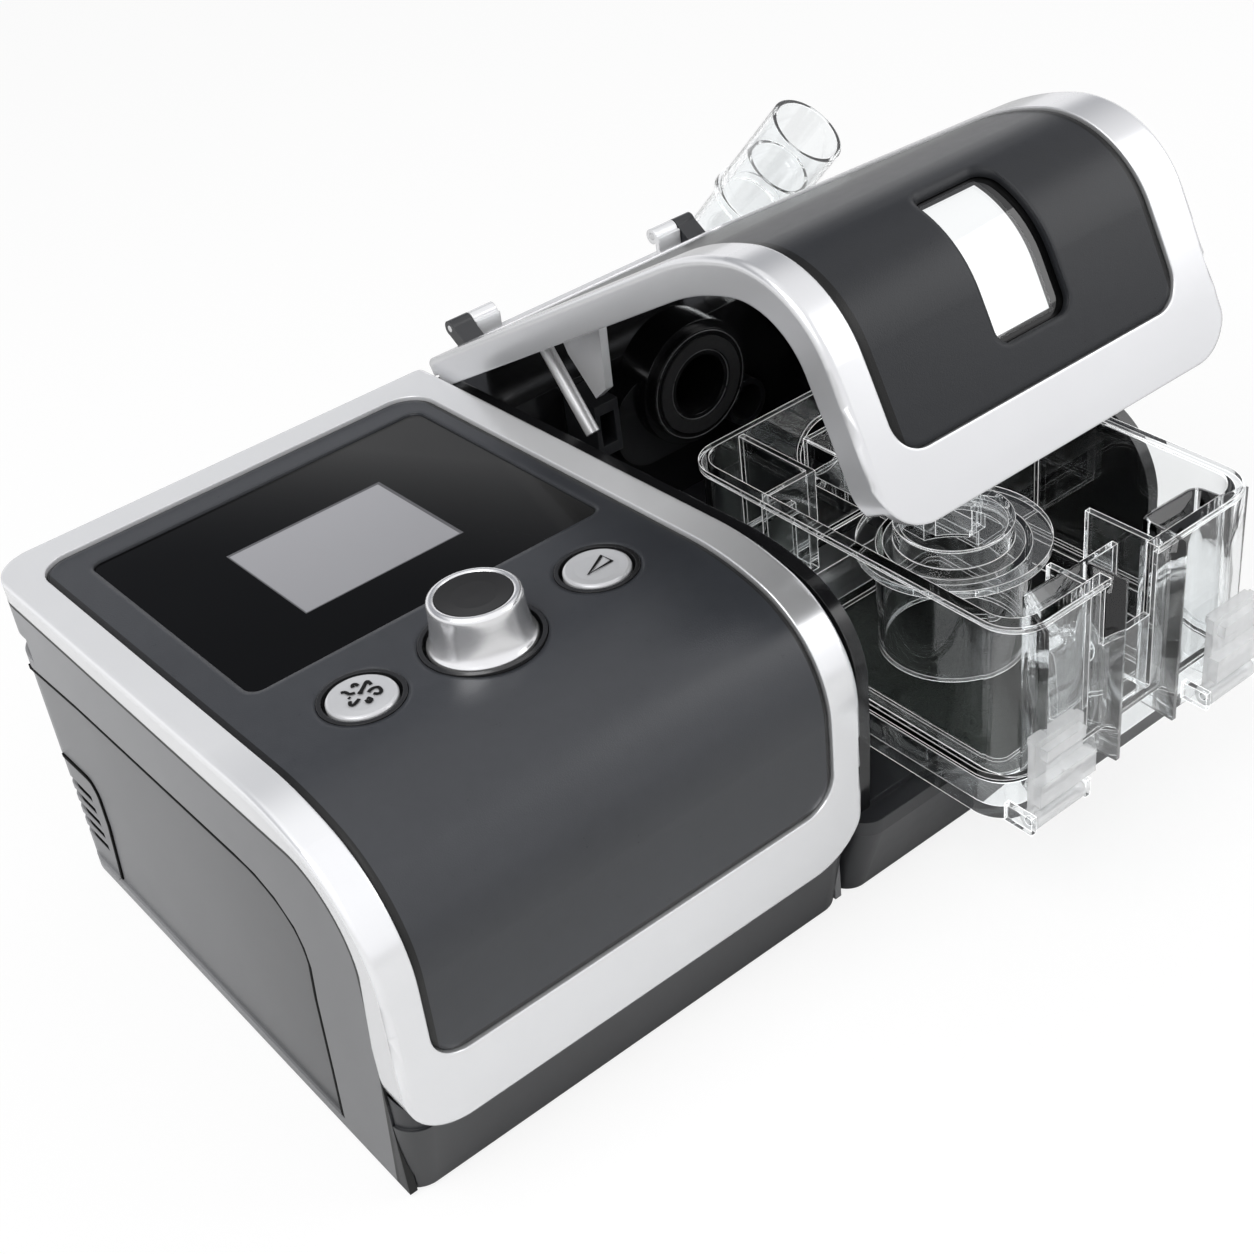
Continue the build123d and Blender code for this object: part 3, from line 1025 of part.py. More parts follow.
lid_panel -= window_room(0)
LINER_TOP = LID_BOTTOM + LID_SKIN_GAP
LINER_LOW = LINER_TOP + LID_LINER_T
LINER_X0 = HUM_LEFT + LID_SKIRT_T + 0.2
LINER_X1 = HUM_RIGHT - LID_SKIRT_T - 0.2
liner = skin(LINER_TOP, LINER_LOW, LINER_X0, LINER_X1, 0, CASE_DEPTH - TRIM_T - 0.2)
liner &= lid_mask & slab_y(
    rounded(LINER_X0, LID_FOOT_Z + 3, LINER_X1, ABOVE, (LID_CORNER_R - 3, LID_CORNER_R - 3, 0, 0)), -60, BEHIND
)
liner -= window_room(WINDOW_LIP)
liner += skin(LINER_TOP, LINER_LOW, WINDOW_X0 - WINDOW_LIP - 2, WINDOW_X1 + WINDOW_LIP + 2, 0) & (
    window_room(WINDOW_LIP + 1) - window_room(WINDOW_LIP)
)
for x in (ARM_X_LEFT, ARM_X_RIGHT):
    arm_face = make_face(
        Polyline(
            (CASE_DEPTH - 22, top_z(CASE_DEPTH - 22, LINER_LOW) + 1),
            (CASE_DEPTH - TRIM_T - 0.3, top_z(CASE_DEPTH, LINER_LOW) + 1),
            (HINGE_Y - 1.5, HINGE_Z + 2.3),
            (HINGE_Y + 2.0, HINGE_Z + 1.6),
            (HINGE_Y + 2.0, HINGE_Z - 1.9),
            (CASE_DEPTH - 1, HINGE_Z - 16.0),
            (CASE_DEPTH - 12, HINGE_Z - 16.4),
            close=True,
        )
    )
    arm = slab_x(arm_face, x, x + ARM_W) + rod_x(x, x + ARM_W, HINGE_Y, HINGE_Z, RAIL_R)
    liner += arm
    lid_trim -= block(x - 0.6, x + ARM_W + 0.6, CASE_DEPTH - TRIM_T - 0.5, BEHIND, 100, top_z(CASE_DEPTH) + 5)
for x in (ARM_X_LEFT, ARM_X_RIGHT):
    liner -= rod_x(x - 1, x + ARM_W + 1, HINGE_Y, HINGE_Z, PIN_R)
pane = skin(LINER_TOP, LINER_TOP + 1.6, HUM_LEFT - 5, BESIDE, 0) & window_room(WINDOW_LIP - 0.2)
blade_face = make_face(
    Polyline(
        (STAY_BACK_Y - 17.6, CREST_Z - 9.7),
        (STAY_BACK_Y - 39.8, CREST_Z - 12.4),
        (STAY_BACK_Y - 28.3, CREST_Z - 33.4),
        (STAY_BACK_Y - 20.8, CREST_Z - 35.4),
        (STAY_BACK_Y - 15.3, CREST_Z - 19.4),
        (STAY_BACK_Y - 15.3, CREST_Z - 9.8),
        close=True,
    )
)
stay = slab_x(blade_face, STAY_X - STAY_T / 2, STAY_X + STAY_T / 2)
rod_dir = Vector(0, -7.8, -35.5)
rod_plane = Plane(origin=(STAY_X, STAY_BACK_Y, CREST_Z - 11.0), z_dir=rod_dir)
stay += rod_plane * extrude(Circle(2.4), rod_dir.length)
stay += skin(LINER_LOW, LINER_LOW + 1.4, STAY_X - 4, STAY_X + 4, 0) & block(
    STAY_X - 10, STAY_X + 10, STAY_BACK_Y - 40.3, STAY_BACK_Y + 5.7, CREST_Z - 39.4, ABOVE
)
corner_cut = slab_z(
    make_face(
        Polyline(
            (HUM_RIGHT + 4, CUT_START_Y - 4),
            (HUM_RIGHT + 0.0, CUT_START_Y),
            (CUT_X, CUT_Y),
            (CUT_X, BEHIND),
            (HUM_RIGHT + 4, BEHIND),
            close=True,
        )
    ),
    60,
    ABOVE,
)
hinge_axis = Axis((0, HINGE_Y, HINGE_Z), (1, 0, 0))
lid_parts = {"lid_trim": lid_trim, "lid_panel": lid_panel, "lid_liner": liner, "lid_window": pane, "lid_stay": stay}
for name, shape in lid_parts.items():
    if name in ("lid_trim", "lid_liner"):
        shape = shape - corner_cut
    parts[name] = shape.rotate(hinge_axis, -LID_ANGLE)

# Water chamber: clear tank on a clear tray with a metal heat plate
tray_x0 = CH_X0 - TRAY_OUT
tray_x1 = CH_X1 + TRAY_OUT
tray_plan = rounded(tray_x0, TRAY_FRONT, tray_x1, CH_BACK - 2, (CH_CORNER_R,) * 4)
tray = slab_z(tray_plan, TRAY_LOW_Z, CH_SPLIT_Z)
tray -= slab_z(offset(tray_plan, -CH_WALL), CH_FLOOR_Z, CH_SPLIT_Z + 1)
plate_plan = rounded(HEATER_X0 - 4, -28, HEATER_X1 + 4, CH_BACK - 18.6, (10,) * 4)
tray -= slab_z(plate_plan, TRAY_LOW_Z - 1, TRAY_LOW_Z + PLATE_T + 0.1)
tray -= slab_z(offset(plate_plan, -5), TRAY_LOW_Z - 1, CH_FLOOR_Z + 1)
plate = slab_z(offset(plate_plan, -0.2), TRAY_LOW_Z, TRAY_LOW_Z + PLATE_T)
tank_plan = rounded(CH_X0, CH_FRONT, CH_X1, CH_BACK, (CH_CORNER_R,) * 4)
tank = slab_z(tank_plan, CH_SPLIT_Z + 2.2, CH_RIM_Z)
tank -= slab_z(offset(tank_plan, -CH_WALL), CH_SPLIT_Z, CH_RIM_Z + 1)
rim_plan = rounded(CH_X0 - 1.4, CH_FRONT - 1.8, CH_X1 + 1.4, CH_BACK, (CH_CORNER_R,) * 4)
tank += slab_z(rim_plan, CH_RIM_Z - 2.2, CH_RIM_Z) - slab_z(offset(tank_plan, -CH_WALL), CH_SPLIT_Z, CH_RIM_Z + 1)
tank += slab_z(tray_plan, CH_SPLIT_Z + 1.0, CH_SPLIT_Z + 3.2) - slab_z(
    offset(tank_plan, -CH_WALL), CH_SPLIT_Z, CH_RIM_Z + 1
)
inner_x0 = CH_X0 + CH_WALL - 0.1
inner_x1 = CH_X1 - CH_WALL + 0.1
partition_z = CH_RIM_Z - 1
tank += block(CH_X0 + 30, CH_X0 + 32, CH_FRONT + CH_WALL - 0.1, CH_FRONT + 16, CH_SPLIT_Z + 4, partition_z)
tank += block(CH_X0 + 58, CH_X0 + 60, CH_FRONT + CH_WALL - 0.1, CH_FRONT + 26, CH_SPLIT_Z + 4, partition_z)
tank += block(CH_X0 + 30, CH_X0 + 60, CH_FRONT + 14, CH_FRONT + 16, CH_SPLIT_Z + 4, partition_z - 6)
tank += block(inner_x0, CH_X0 + 22, 56, 58, CH_SPLIT_Z + 20, partition_z)
tank += block(CH_X0 + 20, CH_X0 + 22, 56, CH_BACK - CH_WALL + 0.1, CH_SPLIT_Z + 20, partition_z)
tank += block(CH_X1 - 30, inner_x1, 34, 36, CH_SPLIT_Z + 12, partition_z)
tank += block(CH_X1 - 30, CH_X1 - 28, 34, CH_BACK - CH_WALL + 0.1, CH_SPLIT_Z + 12, partition_z)
notch = block(CH_X0 + 36, CH_X0 + 56, CH_FRONT - 5, CH_FRONT + 5, CH_RIM_Z - 24, CH_RIM_Z + 1)
tank -= notch
tank -= rod_y(PORT_X, CH_BACK - 5, CH_BACK + 2, PORT_Z, PORT_R - 0.5)
tank -= rod_y(RETURN_X, CH_BACK - 5, CH_BACK + 2, RETURN_Z, RETURN_R)
tank += block(inner_x0, CH_X0 + 22, 64, 66, CH_SPLIT_Z + 20, partition_z - 14)
gasket_plan = offset(tray_plan, -0.2)
gasket = slab_z(gasket_plan, CH_SPLIT_Z, CH_SPLIT_Z + 1.0) - slab_z(
    offset(tray_plan, -CH_WALL - 0.6), CH_SPLIT_Z - 1, CH_SPLIT_Z + 3
)
passage = rod_z(PASSAGE_X, PASSAGE_Y, CH_SPLIT_Z + 6, CH_RIM_Z - 14, PASSAGE_R)
passage += rod_z(PASSAGE_X, PASSAGE_Y, CH_RIM_Z - 16, CH_RIM_Z - 13.4, PASSAGE_R + 6)
passage += rod_z(PASSAGE_X, PASSAGE_Y, CH_RIM_Z - 14, CH_RIM_Z - 7, PASSAGE_R - 5)
passage -= rod_z(PASSAGE_X, PASSAGE_Y, CH_SPLIT_Z + 5, CH_RIM_Z - 9, PASSAGE_R - 7)
passage -= rod_z(PASSAGE_X, PASSAGE_Y, CH_SPLIT_Z + 5, CH_RIM_Z - 15.6, PASSAGE_R - 2)
passage += block(PORT_X - 9, PORT_X + 9, PASSAGE_Y + 12, CH_BACK - CH_WALL + 0.1, PORT_Z - 9, PORT_Z + 7) - rod_z(
    PASSAGE_X, PASSAGE_Y, 40, CH_RIM_Z + 2, PASSAGE_R - 2
)
passage -= block(PORT_X - 7, PORT_X + 7, PASSAGE_Y + 10, CH_BACK + 5, PORT_Z - 7, PORT_Z + 5) - rod_z(
    PASSAGE_X, PASSAGE_Y, CH_RIM_Z - 15, CH_RIM_Z + 2, PASSAGE_R
)
passage &= block(0, BESIDE, -100, CH_BACK - CH_WALL - 0.05, 0, ABOVE)
parts["chamber_tank"] = tank
parts["chamber_tray"] = tray
parts["chamber_plate"] = plate
parts["chamber_seal"] = gasket
parts["air_passage"] = passage

# Frosted latches on the front of the chamber, each on its own pin between two ears
for name, x0 in (("left", LATCH_X_LEFT + 1), ("right", LATCH_X_RIGHT)):
    x1 = x0 + LATCH_W
    y_out = LATCH_PIN_Y
    latch = block(x0, x1, y_out - LATCH_T / 2, y_out + LATCH_T / 2, LATCH_PIN_Z, LATCH_Z1)
    latch += rod_x(x0, x1, y_out, LATCH_PIN_Z, 3.2)
    latch += block(x0 - 1.5, x1 + 1.5, y_out - 5, y_out - LATCH_T / 2 + 0.1, 52, 60)
    latch += block(x0 + 2, x1 - 2, y_out - 4, y_out, LATCH_Z1 - 6, LATCH_Z1 - 2)
    latch += block(x0 + 1, x1 - 1, y_out - 0.1, y_out + 2.5, LATCH_Z1 - 2.5, LATCH_Z1)
    latch -= rod_x(x0 - 1, x1 + 1, y_out, LATCH_PIN_Z, LATCH_PIN_R + RUN_FIT)
    parts["latch_" + name] = latch
    ears = None
    for ex in (x0 - 2.4, x1 + 0.4):
        ear = block(ex, ex + 2, y_out - 2.6, TRAY_FRONT + 1, LATCH_PIN_Z - 3, LATCH_PIN_Z + 3)
        ears = ear if ears is None else ears + ear
    tray += ears
    tray += rod_x(x0 - 2.4, x1 + 2.4, y_out, LATCH_PIN_Z, LATCH_PIN_R)
parts["chamber_tray"] = tray

# Everything moves so that the origin lies under the middle of the whole product
boxes = [shape.bounding_box() for shape in parts.values()]
low_corner = Vector(min(b.min.X for b in boxes), min(b.min.Y for b in boxes), min(b.min.Z for b in boxes))
high_corner = Vector(max(b.max.X for b in boxes), max(b.max.Y for b in boxes), max(b.max.Z for b in boxes))
ORIGIN = Vector((low_corner.X + high_corner.X) / 2, (low_corner.Y + high_corner.Y) / 2, low_corner.Z)
os.makedirs("parts", exist_ok=True)
for name, shape in parts.items():
    solids = [solid.moved(Location(-ORIGIN)) for solid in shape.solids()]
    placed = solids[0] if len(solids) == 1 else Compound(solids)
    export_step(placed, "parts/" + name + ".step")
print(len(parts), "pieces, origin at", ORIGIN)
print("overall", high_corner - low_corner)
print("outlet", mouth - ORIGIN, "direction", out, "socket", sleeve_start - ORIGIN)
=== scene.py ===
"""Looks of a bilevel breathing machine with its humidifier, built on the packed frame.

Everything is in metres, in the frame's own place: x across, y to the back, z up.
"""

import math

import bmesh
import bpy
from bpy.props import FloatProperty, FloatVectorProperty, IntProperty, PointerProperty
from mathutils import Matrix, Vector


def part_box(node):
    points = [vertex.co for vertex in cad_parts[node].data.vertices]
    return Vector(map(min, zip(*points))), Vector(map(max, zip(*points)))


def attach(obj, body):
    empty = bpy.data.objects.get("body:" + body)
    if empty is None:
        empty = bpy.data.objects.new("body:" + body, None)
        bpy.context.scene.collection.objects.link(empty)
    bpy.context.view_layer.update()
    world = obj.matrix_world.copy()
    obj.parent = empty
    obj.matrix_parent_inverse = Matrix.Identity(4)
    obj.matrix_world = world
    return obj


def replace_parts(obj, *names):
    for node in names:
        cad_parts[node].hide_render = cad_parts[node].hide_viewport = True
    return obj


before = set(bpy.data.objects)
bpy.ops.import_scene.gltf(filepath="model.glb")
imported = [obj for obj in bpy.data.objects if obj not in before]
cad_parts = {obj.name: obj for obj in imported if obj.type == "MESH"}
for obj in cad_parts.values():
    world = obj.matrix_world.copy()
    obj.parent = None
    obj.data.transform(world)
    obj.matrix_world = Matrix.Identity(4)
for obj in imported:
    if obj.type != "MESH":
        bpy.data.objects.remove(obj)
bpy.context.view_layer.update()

bl_info = {
    "name": "Bilevel machine looks",
    "version": (1, 0, 0),
    "blender": (4, 5, 0),
    "location": "View3D > Sidebar > Machine",
    "description": "Finishes and fine pieces of a bilevel breathing machine and its humidifier",
    "category": "Object",
}

MM = 0.001
# The frame's own zero, in the maker's millimetres.
ORIGIN = Vector((163.703, 88.1, -1.2))
ACROSS = Vector((1.0, 0.0, 0.0))
# Square to the main unit's top, which falls to the back by that slope.
TOP_UP = Vector((0.0, 0.0422, 1.0)).normalized()
BLACK = (0.001, 0.001, 0.001)
WHITE = (1.0, 1.0, 1.0)


def place(x, y, z):
    """A point given in the maker's millimetres, from the front left corner of the base."""
    return (Vector((x, y, z)) - ORIGIN) * MM


def colour_property(name, description, default):
    """A colour that the user may change."""
    return FloatVectorProperty(
        name=name, description=description, subtype="COLOR", size=3, min=0.0, max=1.0, default=default
    )


def length_property(name, description, default):
    """A length in metres."""
    return FloatProperty(
        name=name, description=description, unit="LENGTH", subtype="DISTANCE", min=0.0, default=default
    )


def share_property(name, description, default):
    """A number from 0 to 1."""
    return FloatProperty(
        name=name, description=description, subtype="FACTOR", min=0.0, max=1.0, default=default
    )


class CaseFinish(bpy.types.PropertyGroup):
    """Colours and grain of the moulded case, its panels and its rims."""

    shell: colour_property("Shell", "Moulded outer case", (0.026, 0.027, 0.030))
    side: colour_property("Side", "Inset side panel", (0.235, 0.237, 0.245))
    panel: colour_property("Panel", "Textured top panels", (0.040, 0.043, 0.050))
    silver: colour_property("Silver", "Painted rims", (0.90, 0.905, 0.92))
    rubber: colour_property("Rubber", "Feet and seals", (0.020, 0.020, 0.021))
    grain: length_property("Grain", "Size of the grain moulded into the panels", 0.00042)
    grain_depth: length_property("Grain depth", "Depth of that grain", 0.00004)
    edge: length_property("Edge", "Radius worn onto the moulded edges", 0.0004)
    border: length_property("Border", "Width of the rounded border of the panels", 0.0022)


class ScreenFinish(bpy.types.PropertyGroup):
    """The black window and the screen below it."""

    window: colour_property("Window", "Black window round the screen", (0.0015, 0.0015, 0.0016))
    screen: colour_property("Screen", "Screen when it is off", (0.43, 0.43, 0.455))
    screen_edge: colour_property("Screen edge", "Darker line round the screen", (0.14, 0.14, 0.15))
    edge_width: length_property("Edge width", "Width of that darker line", 0.0011)
    # The far corner's grey is a painted sheen on the window.
    painted_sheen: share_property("Painted sheen", "Grey level of the window's far corner", 0.055)


class ControlFinish(bpy.types.PropertyGroup):
    """The turning knob and its two buttons."""

    metal: colour_property("Metal", "Turned knob", (0.88, 0.88, 0.89))
    cap: colour_property("Cap", "Dark disc in the top of the knob", (0.022, 0.022, 0.023))
    pearl: colour_property("Pearl", "Button caps", (0.66, 0.665, 0.68))
    sign: colour_property("Sign", "Lines of the signs on the buttons", (0.004, 0.004, 0.004))
    line: length_property("Line", "Width of those lines", 0.00105)
    steps: IntProperty(name="Steps", description="Flats round each turned piece", default=96, min=12)


class ChamberFinish(bpy.types.PropertyGroup):
    """The clear water chamber, its plate and its latches."""

    clear: colour_property("Clear", "Clear moulding", (0.97, 0.985, 0.99))
    frosted: colour_property("Frosted", "Frosted latches", (0.93, 0.94, 0.95))
    steel: colour_property("Steel", "Heated plate", (0.075, 0.082, 0.076))
    body: share_property("Body", "Share of light that a frosted wall holds back", 0.38)
    bend: FloatProperty(name="Bend", description="How far the clear walls bend light", default=1.13, min=1.0)
    # The glint is a painted highlight: the clear walls' edges glow by this much.
    painted_glint: share_property("Glint", "Light that the edges of the clear walls throw back", 0.85)
    frost: share_property("Frost", "Roughness of the latches", 0.34)


class StageSettings(bpy.types.PropertyGroup):
    """Floor, lamps and camera."""

    floor: colour_property("Floor", "Pale floor", (0.90, 0.90, 0.90))
    key: FloatProperty(name="Key lamp", description="Large lamp above, to the left", unit="POWER", default=9.0)
    fill: FloatProperty(name="Fill lamp", description="Softer lamp to the right", unit="POWER", default=4.0)
    glow: share_property("Glow", "Share of plain white in the floor", 0.80)
    white: FloatProperty(name="White", description="Strength of that white", default=1.05, min=0.0)
    lens: FloatProperty(name="Lens", description="Focal length in millimetres on a 36 mm frame", default=57.31)


class Wire:
    """A socket of a material's nodes, which can stand in a sum."""

    def __init__(self, finish, socket):
        self.finish = finish
        self.socket = socket

    def _meet(self, other, operation, swapped=False):
        first, second = (other, self) if swapped else (self, other)
        if self.socket.type == "VECTOR":
            settings = {"operation": operation}
            return self.finish.node("ShaderNodeVectorMath", settings, {0: first, 1: second})
        if self.socket.type == "RGBA":
            settings = {"data_type": "RGBA", "blend_type": operation}
            return self.finish.node("ShaderNodeMix", settings, {0: 1.0, 6: first, 7: second}, 2)
        return self.finish.node("ShaderNodeMath", {"operation": operation}, {0: first, 1: second})

    def __add__(self, other):
        return self._meet(other, "ADD")

    def __radd__(self, other):
        return self._meet(other, "ADD", True)

    def __sub__(self, other):
        return self._meet(other, "SUBTRACT")

    def __rsub__(self, other):
        return self._meet(other, "SUBTRACT", True)

    def __mul__(self, other):
        return self._meet(other, "MULTIPLY")

    def __rmul__(self, other):
        return self._meet(other, "MULTIPLY", True)

    def __truediv__(self, other):
        return self._meet(other, "DIVIDE")

    def __rtruediv__(self, other):
        return self._meet(other, "DIVIDE", True)

    def held(self):
        """The value kept between 0 and 1."""
        return self.finish.node("ShaderNodeClamp", {}, {0: self, 1: 0.0, 2: 1.0})

    def step(self, width):
        """0 where the value is below zero, 1 where it is over width, and even between."""
        return (self / width).held()

    def size(self):
        """The value without its sign."""
        return self.finish.node("ShaderNodeMath", {"operation": "ABSOLUTE"}, {0: self})

    def above(self, level):
        """The value, or level where that is higher."""
        return self.finish.node("ShaderNodeMath", {"operation": "MAXIMUM"}, {0: self, 1: level})

    def root(self):
        """The value's square root."""
        return self.finish.node("ShaderNodeMath", {"operation": "SQRT"}, {0: self})

    def part(self, letter):
        """One of a vector's three numbers."""
        return self.finish.node("ShaderNodeSeparateXYZ", {}, {0: self}, "XYZ".index(letter))


class Graph:
    """A tree of nodes, built one node at a time."""

    def __init__(self, tree):
        self.tree = tree

    def node(self, kind, settings, values, output=0):
        """A node of that kind: its settings first, then the values or links of its sockets."""
        made = self.tree.nodes.new(kind)
        for key, value in settings.items():
            if key == "stops":
                for stop, (position, colour) in zip(self._stops(made, len(value)), value):
                    stop.position = position
                    stop.color = colour
            else:
                setattr(made, key, value)
        for key, value in values.items():
            self.feed(made.inputs[key], value)
        return None if output is None else Wire(self, made.outputs[output])

    def _stops(self, made, count):
        while len(made.color_ramp.elements) < count:
            made.color_ramp.elements.new(0.5)
        return made.color_ramp.elements

    def feed(self, socket, value):
        """Links a socket to a wire, or sets its value."""
        if isinstance(value, Wire):
            self.tree.links.new(value.socket, socket)
        elif socket.type == "RGBA" and len(value) == 3:
            socket.default_value = (*value, 1.0)
        else:
            socket.default_value = value

    def grey(self, value):
        """A number turned into a grey of that level."""
        stops = [(level, (level, level, level, 1.0)) for level in (0.0, 1.0)]
        return self.node("ShaderNodeValToRGB", {"stops": stops}, {0: value})

    def mix(self, first, second, share):
        """Two colours mixed by share."""
        return self.node("ShaderNodeMix", {"data_type": "RGBA"}, {0: share, 6: first, 7: second}, 2)

    def between(self, value, low, high, soft):
        """1 where the value lies between low and high, with edges as wide as soft."""
        return (value - low).step(soft) * (high - value).step(soft)


class Finish(Graph):
    """A material built from its nodes, on one shader."""

    def __init__(self, name):
        self.material = bpy.data.materials.new(name)
        self.material.use_nodes = True
        super().__init__(self.material.node_tree)
        self.shader = self.tree.nodes["Principled BSDF"]
        self.place = self.node("ShaderNodeTexCoord", {}, {}, "Object")

    def wear(self, **values):
        """Sets the shader's own sockets; an underscore stands for a space."""
        for key, value in values.items():
            self.feed(self.shader.inputs[key.replace("_", " ")], value)
        return self

    def colour(self):
        """What feeds the base colour so far."""
        return Wire(self, self.shader.inputs["Base Color"].links[0].from_socket)

    def paint(self, colour, share):
        """Lays a colour over the base colour, by that share."""
        return self.wear(Base_Color=self.mix(self.colour(), colour, share))

    def noise(self, length, detail=2.0, roughness=0.5, stretch=None):
        """Even noise whose patches are about length across, in metres."""
        where = self.place if stretch is None else self.place * stretch
        values = {"Vector": where, "Scale": 1.0 / length, "Detail": detail, "Roughness": roughness}
        return self.node("ShaderNodeTexNoise", {}, values)

    def edge(self, radius, samples=4):
        """Normals rounded along the edges, by a radius in metres."""
        return self.node("ShaderNodeBevel", {"samples": samples}, {"Radius": radius})

    def bump(self, height, depth, normal=None):
        """Normals of a surface raised by height times depth in metres."""
        values = {"Strength": 1.0, "Distance": depth, "Height": height}
        if normal is not None:
            values["Normal"] = normal
        return self.node("ShaderNodeBump", {}, values)


def dress(names, finish):
    """Gives CAD nodes that finish."""
    for name in names:
        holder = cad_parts[name]
        if not holder.material_slots:
            holder.data.materials.append(finish.material)
        for slot in holder.material_slots:
            slot.material = finish.material


def shade(colour, share):
    """A colour times a number."""
    return tuple(part * share for part in colour)


def moulded(name, colour, roughness, grain, depth, edge, mottle=0.12, specular=0.5):
    """Plastic moulded in a lightly blasted tool: fine grain, faint clouds and soft edges."""
    made = Finish(name)
    fine = made.noise(grain, detail=3.0, roughness=0.6)
    broad = made.noise(0.03)
    clouds = made.noise(0.004)
    pale = tuple(min(1.0, part + 0.002) for part in shade(colour, 1.0 + mottle))
    dark = shade(colour, 1.0 - mottle)
    made.wear(Base_Color=made.mix(dark, pale, (broad * 0.6 + clouds * 0.4).held()))
    made.wear(Roughness=roughness - 0.05 + clouds * 0.06 + fine * 0.05)
    made.wear(Normal=made.bump(fine, depth, made.edge(edge)), Specular_IOR_Level=specular)
    return made


def brushed(name, colour, roughness, stretch):
    """Metal drawn along one direction, with fine lines and a little darkening."""
    made = Finish(name)
    lines = made.noise(0.0006, detail=3.0, roughness=0.6, stretch=stretch)
    clouds = made.noise(0.012)
    dark = shade(colour, 0.86)
    made.wear(Base_Color=made.mix(dark, colour, (lines * 0.7 + clouds * 0.3).held()), Metallic=1.0)
    made.wear(Roughness=roughness - 0.06 + lines * 0.12)
    made.wear(Normal=made.bump(lines, 0.000004, made.edge(0.0003)))
    return made


def clear_plastic(name, colour, roughness, bend, painted_glint):
    """Clear moulding with faint flow lines, and painted highlights: its edges glow, standing in for the light
    they would catch.
    """
    made = Finish(name)
    flow = made.noise(0.018, detail=1.0)
    scuffs = made.noise(0.0009, detail=3.0, roughness=0.7)
    soft = made.edge(0.0006, samples=8)
    flat = made.node("ShaderNodeNewGeometry", {}, {}, "Normal")
    across = made.node("ShaderNodeVectorMath", {"operation": "DOT_PRODUCT"}, {0: soft, 1: flat}, "Value")
    painted_edge = (0.97 - across).step(0.2)
    made.wear(Base_Color=made.mix(shade(colour, 0.985), colour, flow), IOR=bend)
    made.wear(Roughness=roughness + scuffs * roughness * 0.8, Transmission_Weight=1.0)
    made.wear(Coat_Weight=1.0, Coat_IOR=1.5, Coat_Roughness=roughness)
    # Painted highlight: the walls' edges glow, in place of the light they would catch.
    made.wear(Emission_Color=made.grey(painted_edge * (0.6 + flow * 0.8)), Emission_Strength=painted_glint)
    made.wear(Normal=made.bump(flow, 0.00002, soft))
    return made


def frosted_plastic(name, colour, roughness, body):
    """Clear moulding blasted in its tool, so that it passes a pale, even light."""
    made = Finish(name)
    clouds = made.noise(0.006)
    grain = made.noise(0.0004, detail=3.0, roughness=0.7)
    away = made.node("ShaderNodeLayerWeight", {}, {"Blend": 0.5}, "Facing")
    made.wear(Base_Color=made.mix(shade(colour, 0.9), colour, clouds), Coat_Weight=0.5)
    made.wear(Roughness=roughness + grain * 0.1)
    made.wear(Alpha=(body + clouds * 0.1 + away * away * 0.4).held())
    made.wear(Normal=made.bump(grain, 0.00001, made.edge(0.0005)))
    return made


def silver_paint(name, colour, edge):
    """Silver paint: fine flakes under a clear coat."""
    made = Finish(name)
    flake = made.noise(0.00025, roughness=0.6)
    clouds = made.noise(0.02)
    made.wear(Base_Color=made.mix(shade(colour, 0.93), colour, (flake * 0.5 + clouds * 0.5).held()))
    made.wear(Roughness=0.20 + clouds * 0.05 + flake * 0.04, Coat_Weight=0.4, Coat_Roughness=0.08)
    made.wear(Normal=made.bump(flake, 0.000003, made.edge(edge, samples=8)))
    return made


def soft_rubber(name, colour):
    """Black rubber with a little pale dust in its grain."""
    made = Finish(name)
    dust = made.noise(0.002, detail=4.0, roughness=0.7)
    grain = made.noise(0.0003)
    pale = tuple(part * 1.9 + 0.006 for part in colour)
    made.wear(Base_Color=made.mix(colour, pale, (dust * dust * 0.8).held()), Roughness=0.72 + grain * 0.14)
    made.wear(Normal=made.bump(grain, 0.00003, made.edge(0.0003)), Specular_IOR_Level=0.35)
    return made


def piece(name, work, body, finish):
    """Turns a filled bmesh into a piece that rides on a body."""
    bmesh.ops.recalc_face_normals(work, faces=work.faces[:])
    for face in work.faces:
        face.smooth = True
    mesh = bpy.data.meshes.new(name)
    work.to_mesh(mesh)
    work.free()
    mesh.materials.append(finish.material)
    made = bpy.data.objects.new(name, mesh)
    bpy.context.scene.collection.objects.link(made)
    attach(made, body)
    return made


def direction(path, i, closed=False):
    """Which way a path runs at its point i."""
    before = path[i - 1] if closed or i > 0 else path[i]
    after = path[(i + 1) % len(path)] if closed or i + 1 < len(path) else path[i]
    return (after - before).normalized()


def loft(work, rings, closed=False):
    """Adds the faces between rings of corners, with a lid at each end unless the rings close up."""
    sides = len(rings[0])
    pairs = list(zip(rings, rings[1:])) + ([(rings[-1], rings[0])] if closed else [])
    for low, high in pairs:
        for k in range(sides):
            work.faces.new((low[k], low[(k + 1) % sides], high[(k + 1) % sides], high[k]))
    if not closed:
        work.faces.new(rings[0])
        work.faces.new(list(reversed(rings[-1])))


def bead(work, path, radius, closed=False, sides=8, flat=1.0):
    """Adds a round bead along a path; flat presses its height."""
    rings = []
    for i, point in enumerate(path):
        along = direction(path, i, closed)
        upright = Vector((0.0, 0.0, 1.0)) if abs(along.z) < 0.9 else ACROSS
        side = along.cross(upright).normalized() * radius
        top = side.cross(along) * flat
        turns = [2.0 * math.pi * k / sides for k in range(sides)]
        rings.append([work.verts.new(point + side * math.cos(turn) + top * math.sin(turn)) for turn in turns])
    loft(work, rings, closed)


